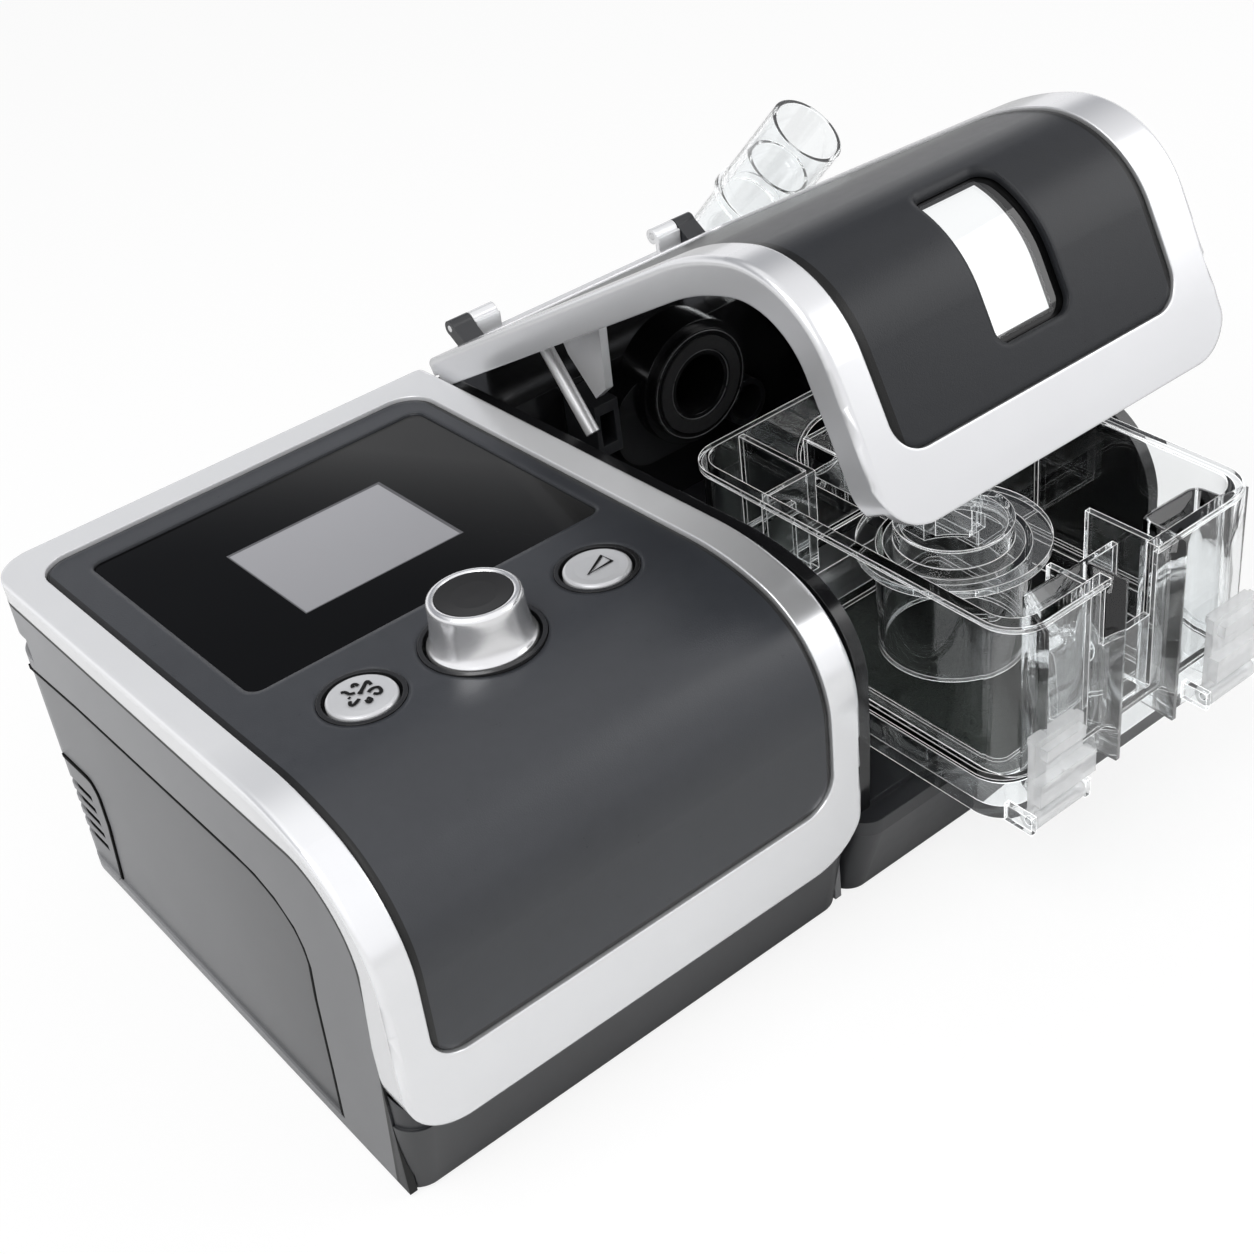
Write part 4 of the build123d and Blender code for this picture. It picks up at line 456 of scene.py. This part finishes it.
def rounded_path(corners, steps=6):
    """Points in millimetres along corners given as (x, y, radius), each turned by an arc."""
    points = []
    for i, (x, y, radius) in enumerate(corners):
        here = Vector((x, y))
        if radius == 0.0:
            points.append(here)
            continue
        back = (Vector(corners[i - 1][:2]) - here).normalized()
        front = (Vector(corners[i + 1][:2]) - here).normalized()
        half = back.angle(front) / 2.0
        reach = radius / math.tan(half)
        centre = here + (back + front).normalized() * (radius / math.sin(half))
        first = here + back * reach - centre
        last = here + front * reach - centre
        sweep = first.angle_signed(last)
        points += [centre + Matrix.Rotation(-sweep * k / steps, 2) @ first for k in range(steps + 1)]
    return points


def curved(points, steps):
    """A smooth curve through flat points, with that many steps between each two."""
    points = [Vector(point) for point in points]
    made = []
    for i in range(len(points) - 1):
        first, second = points[i], points[i + 1]
        before = points[max(i - 1, 0)]
        after = points[min(i + 2, len(points) - 1)]
        for k in range(steps):
            t = k / steps
            made.append(
                first * (2 * t**3 - 3 * t**2 + 1)
                + (second - before) * (0.5 * (t**3 - 2 * t**2 + t))
                + second * (3 * t**2 - 2 * t**3)
                + (after - first) * (0.5 * (t**3 - t**2))
            )
    return made + [points[-1]]


def wall(work, path, low, high, thick):
    """Adds an upright wall from low to high over a flat path, in millimetres."""
    stations = []
    for i, point in enumerate(path):
        along = direction(path, i)
        side = Vector((-along.y, along.x)) * thick / 2.0
        corners = [(point + side, low), (point - side, low), (point - side, high), (point + side, high)]
        stations.append([work.verts.new(place(flat.x, flat.y, z)) for flat, z in corners])
    loft(work, stations)


def strip(work, line, near, far, width):
    """Adds a strip that wide along (y, z) points on the left side, from x near to far, in millimetres."""
    points = [Vector(point) for point in line]
    stations = []
    for i, point in enumerate(points):
        along = direction(points, i)
        inner = point + Vector((-along.y, along.x)) * width
        corners = [(near, point), (far, point), (far, inner), (near, inner)]
        stations.append([work.verts.new(place(x, flat.x, flat.y)) for x, flat in corners])
    loft(work, stations)


def turned(work, profile, seat, steps):
    """Adds a turned solid; its profile is (radius, height) in millimetres, closed on itself."""
    rings = []
    for k in range(steps):
        spin = 2.0 * math.pi * k / steps
        way = Vector((math.cos(spin), math.sin(spin), 0.0))
        rings.append([work.verts.new(seat @ ((way * r + Vector((0.0, 0.0, h))) * MM)) for r, h in profile])
    loft(work, rings, True)


# The left side's seams, as (y, z) in millimetres: round the side panel, and round the air inlet's cover. The
# dark strips laid along them are painted shadow of those seams.
SIDE_LINE = (
    (185.5, 82.6), (152.0, 85.0), (102.0, 86.6), (57.0, 88.0), (51.6, 88.1), (46.7, 87.6), (42.0, 86.6),
    (37.6, 85.2), (33.5, 83.0), (29.8, 79.8), (28.2, 77.4), (27.0, 74.5), (26.3, 71.4), (26.1, 68.2),
    (28.2, 54.6), (30.7, 24.3), (32.6, 4.2),
)
COVER_LINE = (
    (185.5, 45.4), (168.5, 46.1), (166.6, 45.9), (165.2, 44.9), (163.8, 42.9), (163.3, 41.0), (163.4, 30.0),
    (168.2, 4.6),
)
# The x where each shadow strip starts, and its width; a width below zero lies on the line's other side.
SHADOW_STRIPS = (("side_seam", SIDE_LINE, 0.05, 1.7), ("cover_seam", COVER_LINE, 0.6, -1.3))
# The x where both strips end.
SHADOW_STRIP_END = 1.35
# The left side's levels: from the axis of its rounded rear corner to the recess's floor and the outer face.
CORNER_AXIS = (14.0, 181.2)
RECESS_REACH, FACE_REACH = 12.65, 13.3
# The curve from the front over to the top: its centre as (y, z), its radius, and how both ends slope.
NOSE_CENTRE, NOSE_RADIUS = (22.4, 86.1), 23.7
FRONT_SLOPE, TOP_SLOPE = 0.044, 0.024
# The seam in front of the side panel: its y at the floor, its lean and half its width.
FOOT_FRONT, FOOT_LEAN, FOOT_SEAM = 6.8, 0.135, 0.8
# The side pales from front to back as painted shading: its tone at the front, what the back and the outer
# face add, the y where it starts to, in millimetres, and over how far, in metres.
FRONT_TONE, BACK_TONE, FACE_TONE = 0.48, 0.64, 0.36
SHADE_START, SHADE_LENGTH = 15.0, 0.17
# How soft the borders of painted lines are.
THIN, SOFT, WIDE = 0.05 * MM, 0.1 * MM, 0.15 * MM
# The rim mirrors less from front to back: its share there, what it loses, and where, as above.
RIM_METAL, RIM_LOSS = 0.66, 0.42
RIM_START, RIM_LENGTH = 12.0, 0.05


class MACHINE_OT_case(bpy.types.Operator):
    """Dress the moulded case, its side panel, its back and its feet"""

    bl_idname = "machine.case"
    bl_label = "Case"

    def side_shade(self, side, shell):
        """Paints the side's seams, the edges of its recess and its dark front foot, with painted shading from
        front to back; the black in its slots and gaps and along the seam under the rim is painted shade.
        """
        across, along, height = side.place.part("X"), side.place.part("Y"), side.place.part("Z")
        corner, nose, foot = place(*CORNER_AXIS, 0.0), place(0.0, *NOSE_CENTRE), place(0.0, FOOT_FRONT, 0.0)
        inward, back = (corner.x - across).above(0.0), (along - corner.y).above(0.0)
        reach = (inward * inward + back * back).root()
        # Painted shade: black on the surfaces deeper than the recess floor, inside the slots, notch and gaps.
        deep = (RECESS_REACH * MM - reach).step(THIN)
        outer = (reach - FACE_REACH * MM).step(THIN)
        front = (nose.y - along + (nose.z - height).above(0.0) * FRONT_SLOPE).above(0.0)
        over = (height - nose.z + (along - nose.y).above(0.0) * TOP_SLOPE).above(0.0)
        # Painted shade: black along the side's edge in the seam under the rim.
        brink = ((front * front + over * over).root() - NOSE_RADIUS * MM).step(SOFT)
        lean = foot.y - (height - foot.z) * FOOT_LEAN - along
        seam = (FOOT_SEAM * MM - lean.size()).step(SOFT)
        # Painted shading: the side darkens towards the front and pales towards the back.
        painted_fade = (along - place(0.0, SHADE_START, 0.0).y).step(SHADE_LENGTH)
        tone = FRONT_TONE + painted_fade * BACK_TONE + outer * FACE_TONE
        side.wear(Base_Color=side.colour() * tone, Specular_IOR_Level=0.3)
        side.paint(shell, lean.step(WIDE))
        # One black paint: the joint line at the foot, together with the painted shade in the slots and gaps and
        # under the rim.
        side.paint((0.002, 0.002, 0.002), (seam + deep + brink).held())

    def execute(self, context):
        look = context.scene.machine_case
        cast = {"grain": look.grain, "depth": look.grain_depth, "edge": look.edge}
        fine = {"grain": look.grain * 0.7, "depth": look.grain_depth * 0.4, "edge": look.edge}
        shell = moulded("shell_plastic", look.shell, roughness=0.34, **fine)
        side = moulded("side_plastic", look.side, roughness=0.40, **cast)
        plain = moulded("wall_plastic", look.side, roughness=0.40, **cast)
        self.side_shade(side, look.shell)
        rubber = soft_rubber("foot_rubber", look.rubber)
        dress(("base_tub", "upper_case", "humidifier_base", "lid_liner", "filter_housing"), shell)
        dress(("memory_card", "card_socket", "button_switches", "outlet_manifold", "bracket_block"), shell)
        dress(("left_side_shell", "rear_panel", "filter_cover"), side)
        dress(("right_side_wall",), plain)
        dress(("main_feet", "humidifier_feet", "blower_mounts", "port_seal", "chamber_seal"), rubber)
        matt = {"grain": look.grain, "depth": 0.00001, "edge": 0.0001, "mottle": 0.1, "specular": 0.05}
        # Near-black strips along the seams: painted shadow under the side panel's ledge and in the cover's gap.
        dark = moulded("seam_shade", (0.004, 0.004, 0.004), roughness=0.7, **matt)
        for name, line, near, width in SHADOW_STRIPS:
            work = bmesh.new()
            strip(work, line, near, SHADOW_STRIP_END, width)
            piece(name, work, "main_unit", dark)
        return {"FINISHED"}


class MACHINE_OT_rims(bpy.types.Operator):
    """Dress the painted rims of both units"""

    bl_idname = "machine.rims"
    bl_label = "Silver rims"

    def execute(self, context):
        look = context.scene.machine_case
        case = silver_paint("silver_rim", look.silver, look.edge * 2.0)
        back = (case.place.part("Y") - place(0.0, RIM_START, 0.0).y).step(RIM_LENGTH)
        dress(("main_trim", "hinge_rail"), case.wear(Metallic=RIM_METAL - back * RIM_LOSS))
        # Painted shade: the lid's rim takes a darker copy of the same silver paint.
        shaded_lid = silver_paint("silver_lid", shade(look.silver, 0.84), look.edge * 2.0)
        dress(("lid_trim",), shaded_lid.wear(Metallic=0.62))
        return {"FINISHED"}


# Each panel with its share of the panel colour and gloss, and its black border, painted shade of the gap by the
# rims, in millimetres, at the left and at the foot; at the right the border has that share of its width at the
# left.
PANEL_BORDERS = (("top_panel", 0.92, 2.0, 1.3), ("lid_panel", 0.48, 3.2, None))
RIGHT_BORDER = 0.6


class MACHINE_OT_panels(bpy.types.Operator):
    """Dress the textured panels inside the rims, with black painted along their borders as the shade of the gap
    by the rims
    """

    bl_idname = "machine.panels"
    bl_label = "Top panels"

    def execute(self, context):
        look = context.scene.machine_case
        cast = {"grain": look.grain, "depth": look.grain_depth, "edge": look.border, "mottle": 0.16}
        for name, share, line, foot in PANEL_BORDERS:
            tone = shade(look.panel, share)
            made = moulded(name + "_plastic", tone, roughness=0.29, specular=0.5 * share, **cast)
            across, height = made.place.part("X"), made.place.part("Z")
            low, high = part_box(name)
            # Painted shade: black along the panel's borders, for the dark gap by the rim.
            painted_edge = (low[0] + line * MM - across).step(SOFT)
            painted_edge = painted_edge + (across - high[0] + line * RIGHT_BORDER * MM).step(SOFT)
            if foot is not None:
                painted_edge = painted_edge + (low[2] + foot * MM - height).step(SOFT)
            dress((name,), made.paint(BLACK, painted_edge.held()))
        return {"FINISHED"}


# The screen's lower left and upper right corners, in millimetres.
SCREEN_CORNERS = ((54.5, 99.0), (109.0, 145.0))


class MACHINE_OT_screen(bpy.types.Operator):
    """Dress the black window, with the screen that shows through it"""

    bl_idname = "machine.screen"
    bl_label = "Screen"

    def execute(self, context):
        look = context.scene.machine_screen
        made = Finish("black_window")
        across, along = made.place.part("X"), made.place.part("Y")
        low, high = (place(*corner, 0.0) for corner in SCREEN_CORNERS)
        band, soft = look.edge_width, 0.00012
        whole = made.between(across, low.x, high.x, soft) * made.between(along, low.y, high.y, soft)
        inner = made.between(across, low.x + band * 0.4, high.x - band, soft)
        inner = inner * made.between(along, low.y + band * 0.4, high.y - band, soft)
        right, up = (across - low.x) / (high.x - low.x), (along - low.y) / (high.y - low.y)
        # Painted shading: the screen is darker towards its front left corner.
        shaded_screen = made.mix(shade(look.screen, 0.82), look.screen, (right * 0.4 + up * 0.6).held())
        lit = made.mix(look.screen_edge, shaded_screen, inner)
        smear = made.noise(0.03, detail=3.0, roughness=0.6)
        window = made.mix(look.window, shade(look.window, 1.6), smear)
        # Painted sheen: the window pales to grey towards its right rear corner.
        far = (right * 0.55 + up * 0.25).held()
        window = made.mix(window, (look.painted_sheen, look.painted_sheen, look.painted_sheen), far * far * far)
        made.wear(Base_Color=made.mix(window, lit, whole), Roughness=0.06 + smear * 0.04 + whole * 0.10)
        made.wear(Normal=made.edge(0.0005), Specular_IOR_Level=0.12)
        dress(("display_glass",), made)
        module = moulded("screen_module", look.screen, roughness=0.35, grain=0.0006, depth=0.00001, edge=0.0002)
        dress(("display_module",), module)
        return {"FINISHED"}


# Half of the knob's section, as (radius, height) in millimetres, and where its axis meets the top.
KNOB_PROFILE = (
    (3.05, 9.4), (3.05, -4.4), (15.0, -4.4), (15.4, -4.1), (15.4, -1.4), (15.2, -0.9), (14.9, -0.5),
    (14.6, 0.1), (14.2, 1.3), (13.85, 2.7), (13.6, 4.2), (13.4, 6.0), (13.3, 8.0), (13.25, 10.0),
    (13.2, 11.4), (13.1, 12.1), (12.8, 12.7), (12.3, 13.05), (11.7, 13.15), (11.0, 13.0), (10.75, 12.7),
    (10.7, 11.7), (3.05, 11.65),
)
KNOB_FOOT = (80.4, 49.4, 119.16)


class MACHINE_OT_controls(bpy.types.Operator):
    """Dress the knob, its well and the two buttons, and turn the knob's body"""

    bl_idname = "machine.controls"
    bl_label = "Knob and buttons"

    def knob_seat(self):
        """The knob's own frame: its axis is square to the sloping top."""
        turn = Matrix((ACROSS, TOP_UP.cross(ACROSS), TOP_UP)).transposed().to_4x4()
        return Matrix.Translation(place(*KNOB_FOOT)) @ turn

    def execute(self, context):
        look = context.scene.machine_controls
        knob = Finish("turned_metal")
        fine = knob.noise(0.0006, detail=3.0, roughness=0.6, stretch=(1.0, 1.0, 6.0))
        clouds = knob.noise(0.008)
        knob.wear(Base_Color=knob.mix(shade(look.metal, 0.9), look.metal, clouds), Metallic=0.82)
        knob.wear(Roughness=0.17 + fine * 0.08, Normal=knob.bump(fine, 0.000003, knob.edge(0.0005, samples=6)))
        dress(("knob_shell",), knob)
        work = bmesh.new()
        turned(work, KNOB_PROFILE, self.knob_seat(), look.steps)
        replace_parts(piece("knob_body", work, "knob", knob), "knob_shell")
        small = {"grain": 0.0003, "depth": 0.000012, "edge": 0.0002, "specular": 0.15}
        dress(("knob_cap",), moulded("knob_cap_plastic", look.cap, roughness=0.38, **small))
        pearl = Finish("pearl_button")
        sheen = pearl.noise(0.006)
        pale = tuple(min(1.0, part) for part in shade(look.pearl, 1.05))
        pearl.wear(Base_Color=pearl.mix(look.pearl, pale, sheen), Metallic=0.25, Roughness=0.22 + sheen * 0.06)
        pearl.wear(Normal=pearl.bump(sheen, 0.000002, pearl.edge(0.0004, samples=6)))
        dress(("left_button", "ramp_button"), pearl)
        smooth = {"grain": 0.0004, "depth": 0.000006, "edge": 0.0003}
        well = moulded("well_plastic", (0.016, 0.016, 0.017), roughness=0.20, **smooth)
        dress(("knob_well", "button_wells"), well)
        metal = brushed("shaft_metal", (0.6, 0.6, 0.6), roughness=0.3, stretch=(1.0, 1.0, 8.0))
        dress(("rotary_encoder", "encoder_plunger"), metal)
        return {"FINISHED"}


# The strokes of the two signs, as (x, y) in millimetres from the middle of the button.
FAN_SIGN = (
    ((-3.2, 5.0), (-2.3, 4.5), (-1.9, 2.8), (-0.6, 2.1)),
    ((0.3, 4.6), (0.9, 5.6), (1.6, 5.3), (1.7, 4.2)),
    ((0.2, 0.9), (2.3, 2.5), (4.4, 4.0), (4.4, 2.0)),
    ((2.0, -0.4), (3.6, 0.2), (5.0, -0.5), (4.7, -2.5), (3.6, -3.1), (2.6, -2.0)),
    ((0.5, -2.3), (0.8, -3.8), (-0.4, -4.4), (-0.3, -2.9)),
    ((-3.6, -0.2), (-4.3, -1.5), (-3.7, -2.2), (-1.3, -1.1)),
    ((-0.1, 1.5), (0.8, 0.5)),
    ((-3.0, 1.5), (-2.8, 1.0)),
)
RISE_SIGN = (((-4.1, -1.5), (4.7, -1.1), (4.4, 3.3)),)


class MACHINE_OT_signs(bpy.types.Operator):
    """Draw the fine lines on the two buttons"""

    bl_idname = "machine.signs"
    bl_label = "Button signs"

    def execute(self, context):
        look = context.scene.machine_controls
        ink = Finish("sign_ink")
        worn = ink.noise(0.0008, detail=3.0, roughness=0.6)
        pale = tuple(part * 2.0 + 0.004 for part in look.sign)
        ink.wear(Base_Color=ink.mix(look.sign, pale, worn), Roughness=0.5 + worn * 0.1, Specular_IOR_Level=0.1)
        upward = TOP_UP.cross(ACROSS)
        for name, strokes, closed in (("left_button", FAN_SIGN, False), ("ramp_button", RISE_SIGN, True)):
            top = max(vertex.co.dot(TOP_UP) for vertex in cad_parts[name].data.vertices)
            low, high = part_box(name)
            centre = (Vector(low) + Vector(high)) / 2.0
            centre += TOP_UP * (top - centre.dot(TOP_UP) + look.line * 0.02)
            work = bmesh.new()
            for stroke in strokes:
                smooth = [Vector(point) for point in stroke] if closed else curved(stroke, 5)
                path = [centre + (ACROSS * at.x + upward * at.y) * MM for at in smooth]
                bead(work, path, look.line / 2.0, closed, flat=0.16)
            piece(name + "_sign", work, name, ink)
        return {"FINISHED"}


# The two front pockets of the clear tank: corners as (x, y, radius), the walls' foot, top and thickness.
POCKETS = {
    "left_pocket": (
        (192.6, -49.0, 0.0), (198.6, -37.0, 3.0), (201.0, -34.0, 2.0), (224.0, -34.6, 2.5), (224.8, -49.2, 0.0),
    ),
    "right_pocket": (
        (250.0, -49.2, 0.0), (251.0, -33.0, 2.5), (273.4, -33.8, 3.0), (274.2, -43.2, 3.0), (283.4, -44.0, 0.0),
    ),
}
POCKET_FOOT, POCKET_TOP, POCKET_WALL = 44.0, 107.6, 1.6
# The clear part of the lid's window: its left side and foot, and its right side and rear, in millimetres. Round
# it the pane is painted black, as painted shade of the window's deep inner wall.
PANE_LEFT, PANE_FOOT = 216.8, 169.6
PANE_RIGHT, PANE_REAR = 240.2, 20.6


class MACHINE_OT_chamber(bpy.types.Operator):
    """Dress the clear water chamber, its plate and latches, the lid's window and the outlet tube"""

    bl_idname = "machine.chamber"
    bl_label = "Water chamber"

    def execute(self, context):
        look = context.scene.machine_chamber
        clear = clear_plastic("clear_moulding", look.clear, 0.012, look.bend, look.painted_glint)
        tube = clear_plastic("clear_tube", look.clear, 0.02, look.bend * 1.14, look.painted_glint * 0.35)
        pane = clear_plastic("lid_pane", look.clear, 0.012, look.bend, look.painted_glint * 0.3)
        frosted = frosted_plastic("frosted_moulding", look.frosted, look.frost, look.body)
        dress(("chamber_tank", "chamber_tray", "air_passage"), clear)
        across, along, height = pane.place.part("X"), pane.place.part("Y"), pane.place.part("Z")
        low, high = place(PANE_LEFT, 0.0, PANE_FOOT), place(PANE_RIGHT, PANE_REAR, 0.0)
        # Painted shade: black round the clear part, in place of the dark inner wall of the window's recess.
        border = (across - high.x).step(SOFT) + (along - high.y).step(SOFT)
        border = border + (low.x - across).step(SOFT) + (low.z - height).step(SOFT)
        dress(("lid_window",), pane.paint(BLACK, border.held()))
        dress(("outlet_elbow",), tube)
        dress(("latch_left", "latch_right"), frosted)
        dress(("chamber_plate",), brushed("plate_steel", look.steel, roughness=0.28, stretch=(1.0, 12.0, 1.0)))
        for name, corners in POCKETS.items():
            work = bmesh.new()
            wall(work, rounded_path(corners), POCKET_FOOT, POCKET_TOP, POCKET_WALL)
            piece(name, work, "water_chamber", clear)
        return {"FINISHED"}


# The fine grey rings in the air port, painted highlights on its rings: their share of its radius, and how thick
# each is, in metres.
PORT_HIGHLIGHTS = ((0.96, 0.00022), (0.80, 0.0003), (0.62, 0.00025))
PORT_STEPS = 72


class MACHINE_OT_humidifier(bpy.types.Operator):
    """Dress the inside of the humidifier, and the pale blower parts behind it"""

    bl_idname = "machine.humidifier"
    bl_label = "Humidifier inside"

    def execute(self, context):
        smooth = {"grain": 0.002, "depth": 0.00001}
        gloss = moulded("gloss_black", (0.010, 0.010, 0.011), roughness=0.16, edge=0.0004, **smooth)
        dress(("humidifier_left_wall", "humidifier_right_wall"), gloss)
        dress(("rear_housing", "port_duct", "port_ring"), gloss)
        heater = brushed("heater_metal", (0.58, 0.58, 0.58), roughness=0.3, stretch=(12.0, 1.0, 1.0))
        dress(("heater_plate",), heater)
        stay = brushed("stay_metal", (0.80, 0.80, 0.81), roughness=0.3, stretch=(1.0, 1.0, 10.0))
        dress(("lid_stay", "hinge_pin"), stay.wear(Metallic=0.4))
        low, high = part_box("port_ring")
        middle = (Vector(low) + Vector(high)) / 2.0
        middle.y = low[1]
        # Painted highlights: pale grey beads round the port, where its rings would catch the light.
        highlight_grey = moulded("ring_trace", (0.16, 0.16, 0.165), roughness=0.25, edge=0.0002, **smooth)
        work = bmesh.new()
        spins = [2.0 * math.pi * k / PORT_STEPS for k in range(PORT_STEPS)]
        for share, radius in PORT_HIGHLIGHTS:
            reach = (high[0] - low[0]) / 2.0 * share
            path = [middle + Vector((math.cos(spin), 0.0, math.sin(spin))) * reach for spin in spins]
            bead(work, path, radius, closed=True)
        piece("port_ring_lines", work, "humidifier", highlight_grey)
        cast = {"grain": 0.0005, "depth": 0.00002, "edge": 0.0004}
        pale = moulded("pale_plastic", (0.62, 0.62, 0.60), roughness=0.45, **cast)
        dress(("heater_insulator", "blower_housing", "blower_cover", "docking_duct", "impeller"), pale)
        return {"FINISHED"}


class MACHINE_OT_inside(bpy.types.Operator):
    """Dress the boards, the motor, the power inlet and the filter"""

    bl_idname = "machine.inside"
    bl_label = "Boards and blower"

    def execute(self, context):
        board = Finish("board_green")
        cells = board.node("ShaderNodeTexVoronoi", {"distance": "MANHATTAN", "feature": "F1"}, {"Scale": 260.0})
        tracks = board.between(cells, 0.30, 0.42, 0.02)
        clouds = board.noise(0.01)
        green = board.mix((0.012, 0.075, 0.035), (0.016, 0.095, 0.045), clouds)
        board.wear(Base_Color=board.mix(green, (0.05, 0.16, 0.07), tracks), Roughness=0.3 + clouds * 0.1)
        board.wear(Normal=board.bump(tracks, 0.00003))
        dress(("main_board", "power_board"), board)
        motor = brushed("motor_steel", (0.5, 0.5, 0.5), roughness=0.35, stretch=(1.0, 1.0, 10.0))
        dress(("blower_motor",), motor)
        foam = Finish("filter_foam")
        holes = foam.node("ShaderNodeTexVoronoi", {"feature": "F1"}, {"Vector": foam.place, "Scale": 900.0})
        foam.wear(Base_Color=foam.mix((0.16, 0.17, 0.19), (0.30, 0.32, 0.35), holes))
        foam.wear(Roughness=0.85 + holes * 0.1, Normal=foam.bump(holes, 0.0002))
        dress(("filter_pad",), foam)
        cast = {"grain": 0.0005, "depth": 0.00001, "edge": 0.0003}
        dress(("power_inlet",), moulded("inlet_plastic", (0.012, 0.012, 0.013), roughness=0.35, **cast))
        return {"FINISHED"}


def lamp(name, spot, size, power):
    """A square soft lamp at spot that faces the machine."""
    data = bpy.data.lights.new(name, "AREA")
    data.shape = "SQUARE"
    data.size = size
    data.energy = power
    made = bpy.data.objects.new(name, data)
    made.location = spot
    made.rotation_euler = (LAMP_TARGET - Vector(spot)).to_track_quat("-Z", "Y").to_euler()
    bpy.context.scene.collection.objects.link(made)


def sky(level):
    """A pale surround: even as light, white to the camera and through clear parts, graded in gloss."""
    world = bpy.data.worlds.new("surround")
    bpy.context.scene.world = world
    world.use_nodes = True
    graph = Graph(world.node_tree)
    graph.tree.nodes.clear()
    way = graph.node("ShaderNodeTexCoord", {}, {}, "Generated")
    dusk = graph.between(way.part("Z"), 0.28, 0.84, 0.16) * (way.part("Y") * 1.6 + 0.1).held()
    bands = graph.mix((1.1, 1.1, 1.12), (0.24, 0.25, 0.28), dusk)
    rays = ("Is Camera Ray", "Is Transmission Ray", "Is Glossy Ray")
    seen, through, shiny = (graph.node("ShaderNodeLightPath", {}, {}, ray) for ray in rays)
    light, gloss, shown = (
        graph.node("ShaderNodeBackground", {}, {"Color": colour, "Strength": strength})
        for colour, strength in ((WHITE, level), (bands, 1.0), (WHITE, 1.0))
    )
    both = graph.node("ShaderNodeMixShader", {}, {0: shiny, 1: light, 2: gloss})
    both = graph.node("ShaderNodeMixShader", {}, {0: (seen + through).held(), 1: both, 2: shown})
    graph.node("ShaderNodeOutputWorld", {}, {"Surface": both}, None)


# The floor's half width, the light of the surround, and each lamp: its place, its size and its setting.
FLOOR_REACH = 4.0
SKY_LEVEL = 0.5
LAMP_TARGET = Vector((0.0, 0.0, 0.05))
LAMPS = (("key", (-0.75, -0.25, 1.15), 0.9), ("fill", (0.95, -0.65, 0.75), 0.8))
# The camera's place, in metres, and its axes.
CAMERA_SPOT = (-0.299243, -0.416740, 0.431210)
CAMERA_RIGHT = (0.77035, -0.62894, -0.10489)
CAMERA_UP = (0.43928, 0.40426, 0.80225)
CAMERA_BACK = (-0.46216, -0.66408, 0.58771)
SENSOR_WIDTH = 36.0


class MACHINE_OT_stage(bpy.types.Operator):
    """Lay the floor, hang the lamps and set the camera"""

    bl_idname = "machine.stage"
    bl_label = "Stage"

    def execute(self, context):
        look = context.scene.machine_stage
        mesh = bpy.data.meshes.new("floor")
        corners = [(FLOOR_REACH * x, FLOOR_REACH * y, 0.0) for x, y in ((-1, -1), (1, -1), (1, 1), (-1, 1))]
        mesh.from_pydata(corners, [], [(0, 1, 2, 3)])
        floor = bpy.data.objects.new("floor", mesh)
        context.scene.collection.objects.link(floor)
        made = Finish("floor_paint")
        made.wear(Base_Color=look.floor, Roughness=0.9, Specular_IOR_Level=0.0)
        glow = made.node("ShaderNodeEmission", {}, {"Color": WHITE, "Strength": look.white})
        seen = made.node("ShaderNodeLightPath", {}, {}, "Is Camera Ray")
        through = made.node("ShaderNodeLightPath", {}, {}, "Is Transmission Ray")
        share = (seen + through).held() * look.glow
        both = made.node("ShaderNodeMixShader", {}, {0: share, 1: Wire(made, made.shader.outputs[0]), 2: glow})
        made.feed(made.tree.nodes["Material Output"].inputs["Surface"], both)
        mesh.materials.append(made.material)
        for name, spot, size in LAMPS:
            lamp(name + "_lamp", spot, size, getattr(look, name))
        sky(SKY_LEVEL)
        data = bpy.data.cameras.new("camera")
        data.sensor_width = SENSOR_WIDTH
        data.lens = look.lens
        camera = bpy.data.objects.new("camera", data)
        context.scene.collection.objects.link(camera)
        turn = Matrix((CAMERA_RIGHT, CAMERA_UP, CAMERA_BACK)).transposed().to_4x4()
        camera.matrix_world = Matrix.Translation(CAMERA_SPOT) @ turn
        context.scene.camera = camera
        context.scene.view_settings.view_transform = "Standard"
        context.scene.cycles.transparent_max_bounces = 48
        return {"FINISHED"}


PIECE_STEPS = (
    MACHINE_OT_case,
    MACHINE_OT_rims,
    MACHINE_OT_panels,
    MACHINE_OT_screen,
    MACHINE_OT_controls,
    MACHINE_OT_signs,
    MACHINE_OT_chamber,
    MACHINE_OT_humidifier,
    MACHINE_OT_inside,
    MACHINE_OT_stage,
)
LOOKS = {
    "machine_case": CaseFinish,
    "machine_screen": ScreenFinish,
    "machine_controls": ControlFinish,
    "machine_chamber": ChamberFinish,
    "machine_stage": StageSettings,
}


class MACHINE_PT_looks(bpy.types.Panel):
    """The steps that dress the machine, in order"""

    bl_idname = "MACHINE_PT_looks"
    bl_label = "Bilevel machine"
    bl_space_type = "VIEW_3D"
    bl_region_type = "UI"
    bl_category = "Machine"

    def draw(self, context):
        for name, group in LOOKS.items():
            box = self.layout.box()
            box.label(text=group.__doc__)
            for key in group.__annotations__:
                box.prop(getattr(context.scene, name), key)
        for step in PIECE_STEPS:
            self.layout.operator(step.bl_idname)


def register():
    for name, group in LOOKS.items():
        bpy.utils.register_class(group)
        setattr(bpy.types.Scene, name, PointerProperty(type=group))
    for step in PIECE_STEPS:
        bpy.utils.register_class(step)
    bpy.utils.register_class(MACHINE_PT_looks)


def unregister():
    bpy.utils.unregister_class(MACHINE_PT_looks)
    for step in reversed(PIECE_STEPS):
        bpy.utils.unregister_class(step)
    for name, group in LOOKS.items():
        delattr(bpy.types.Scene, name)
        bpy.utils.unregister_class(group)


def main():
    """Dresses the machine step by step."""
    register()
    for step in PIECE_STEPS:
        group, call = step.bl_idname.split(".")
        getattr(getattr(bpy.ops, group), call)()


if __name__ == "__main__":
    main()
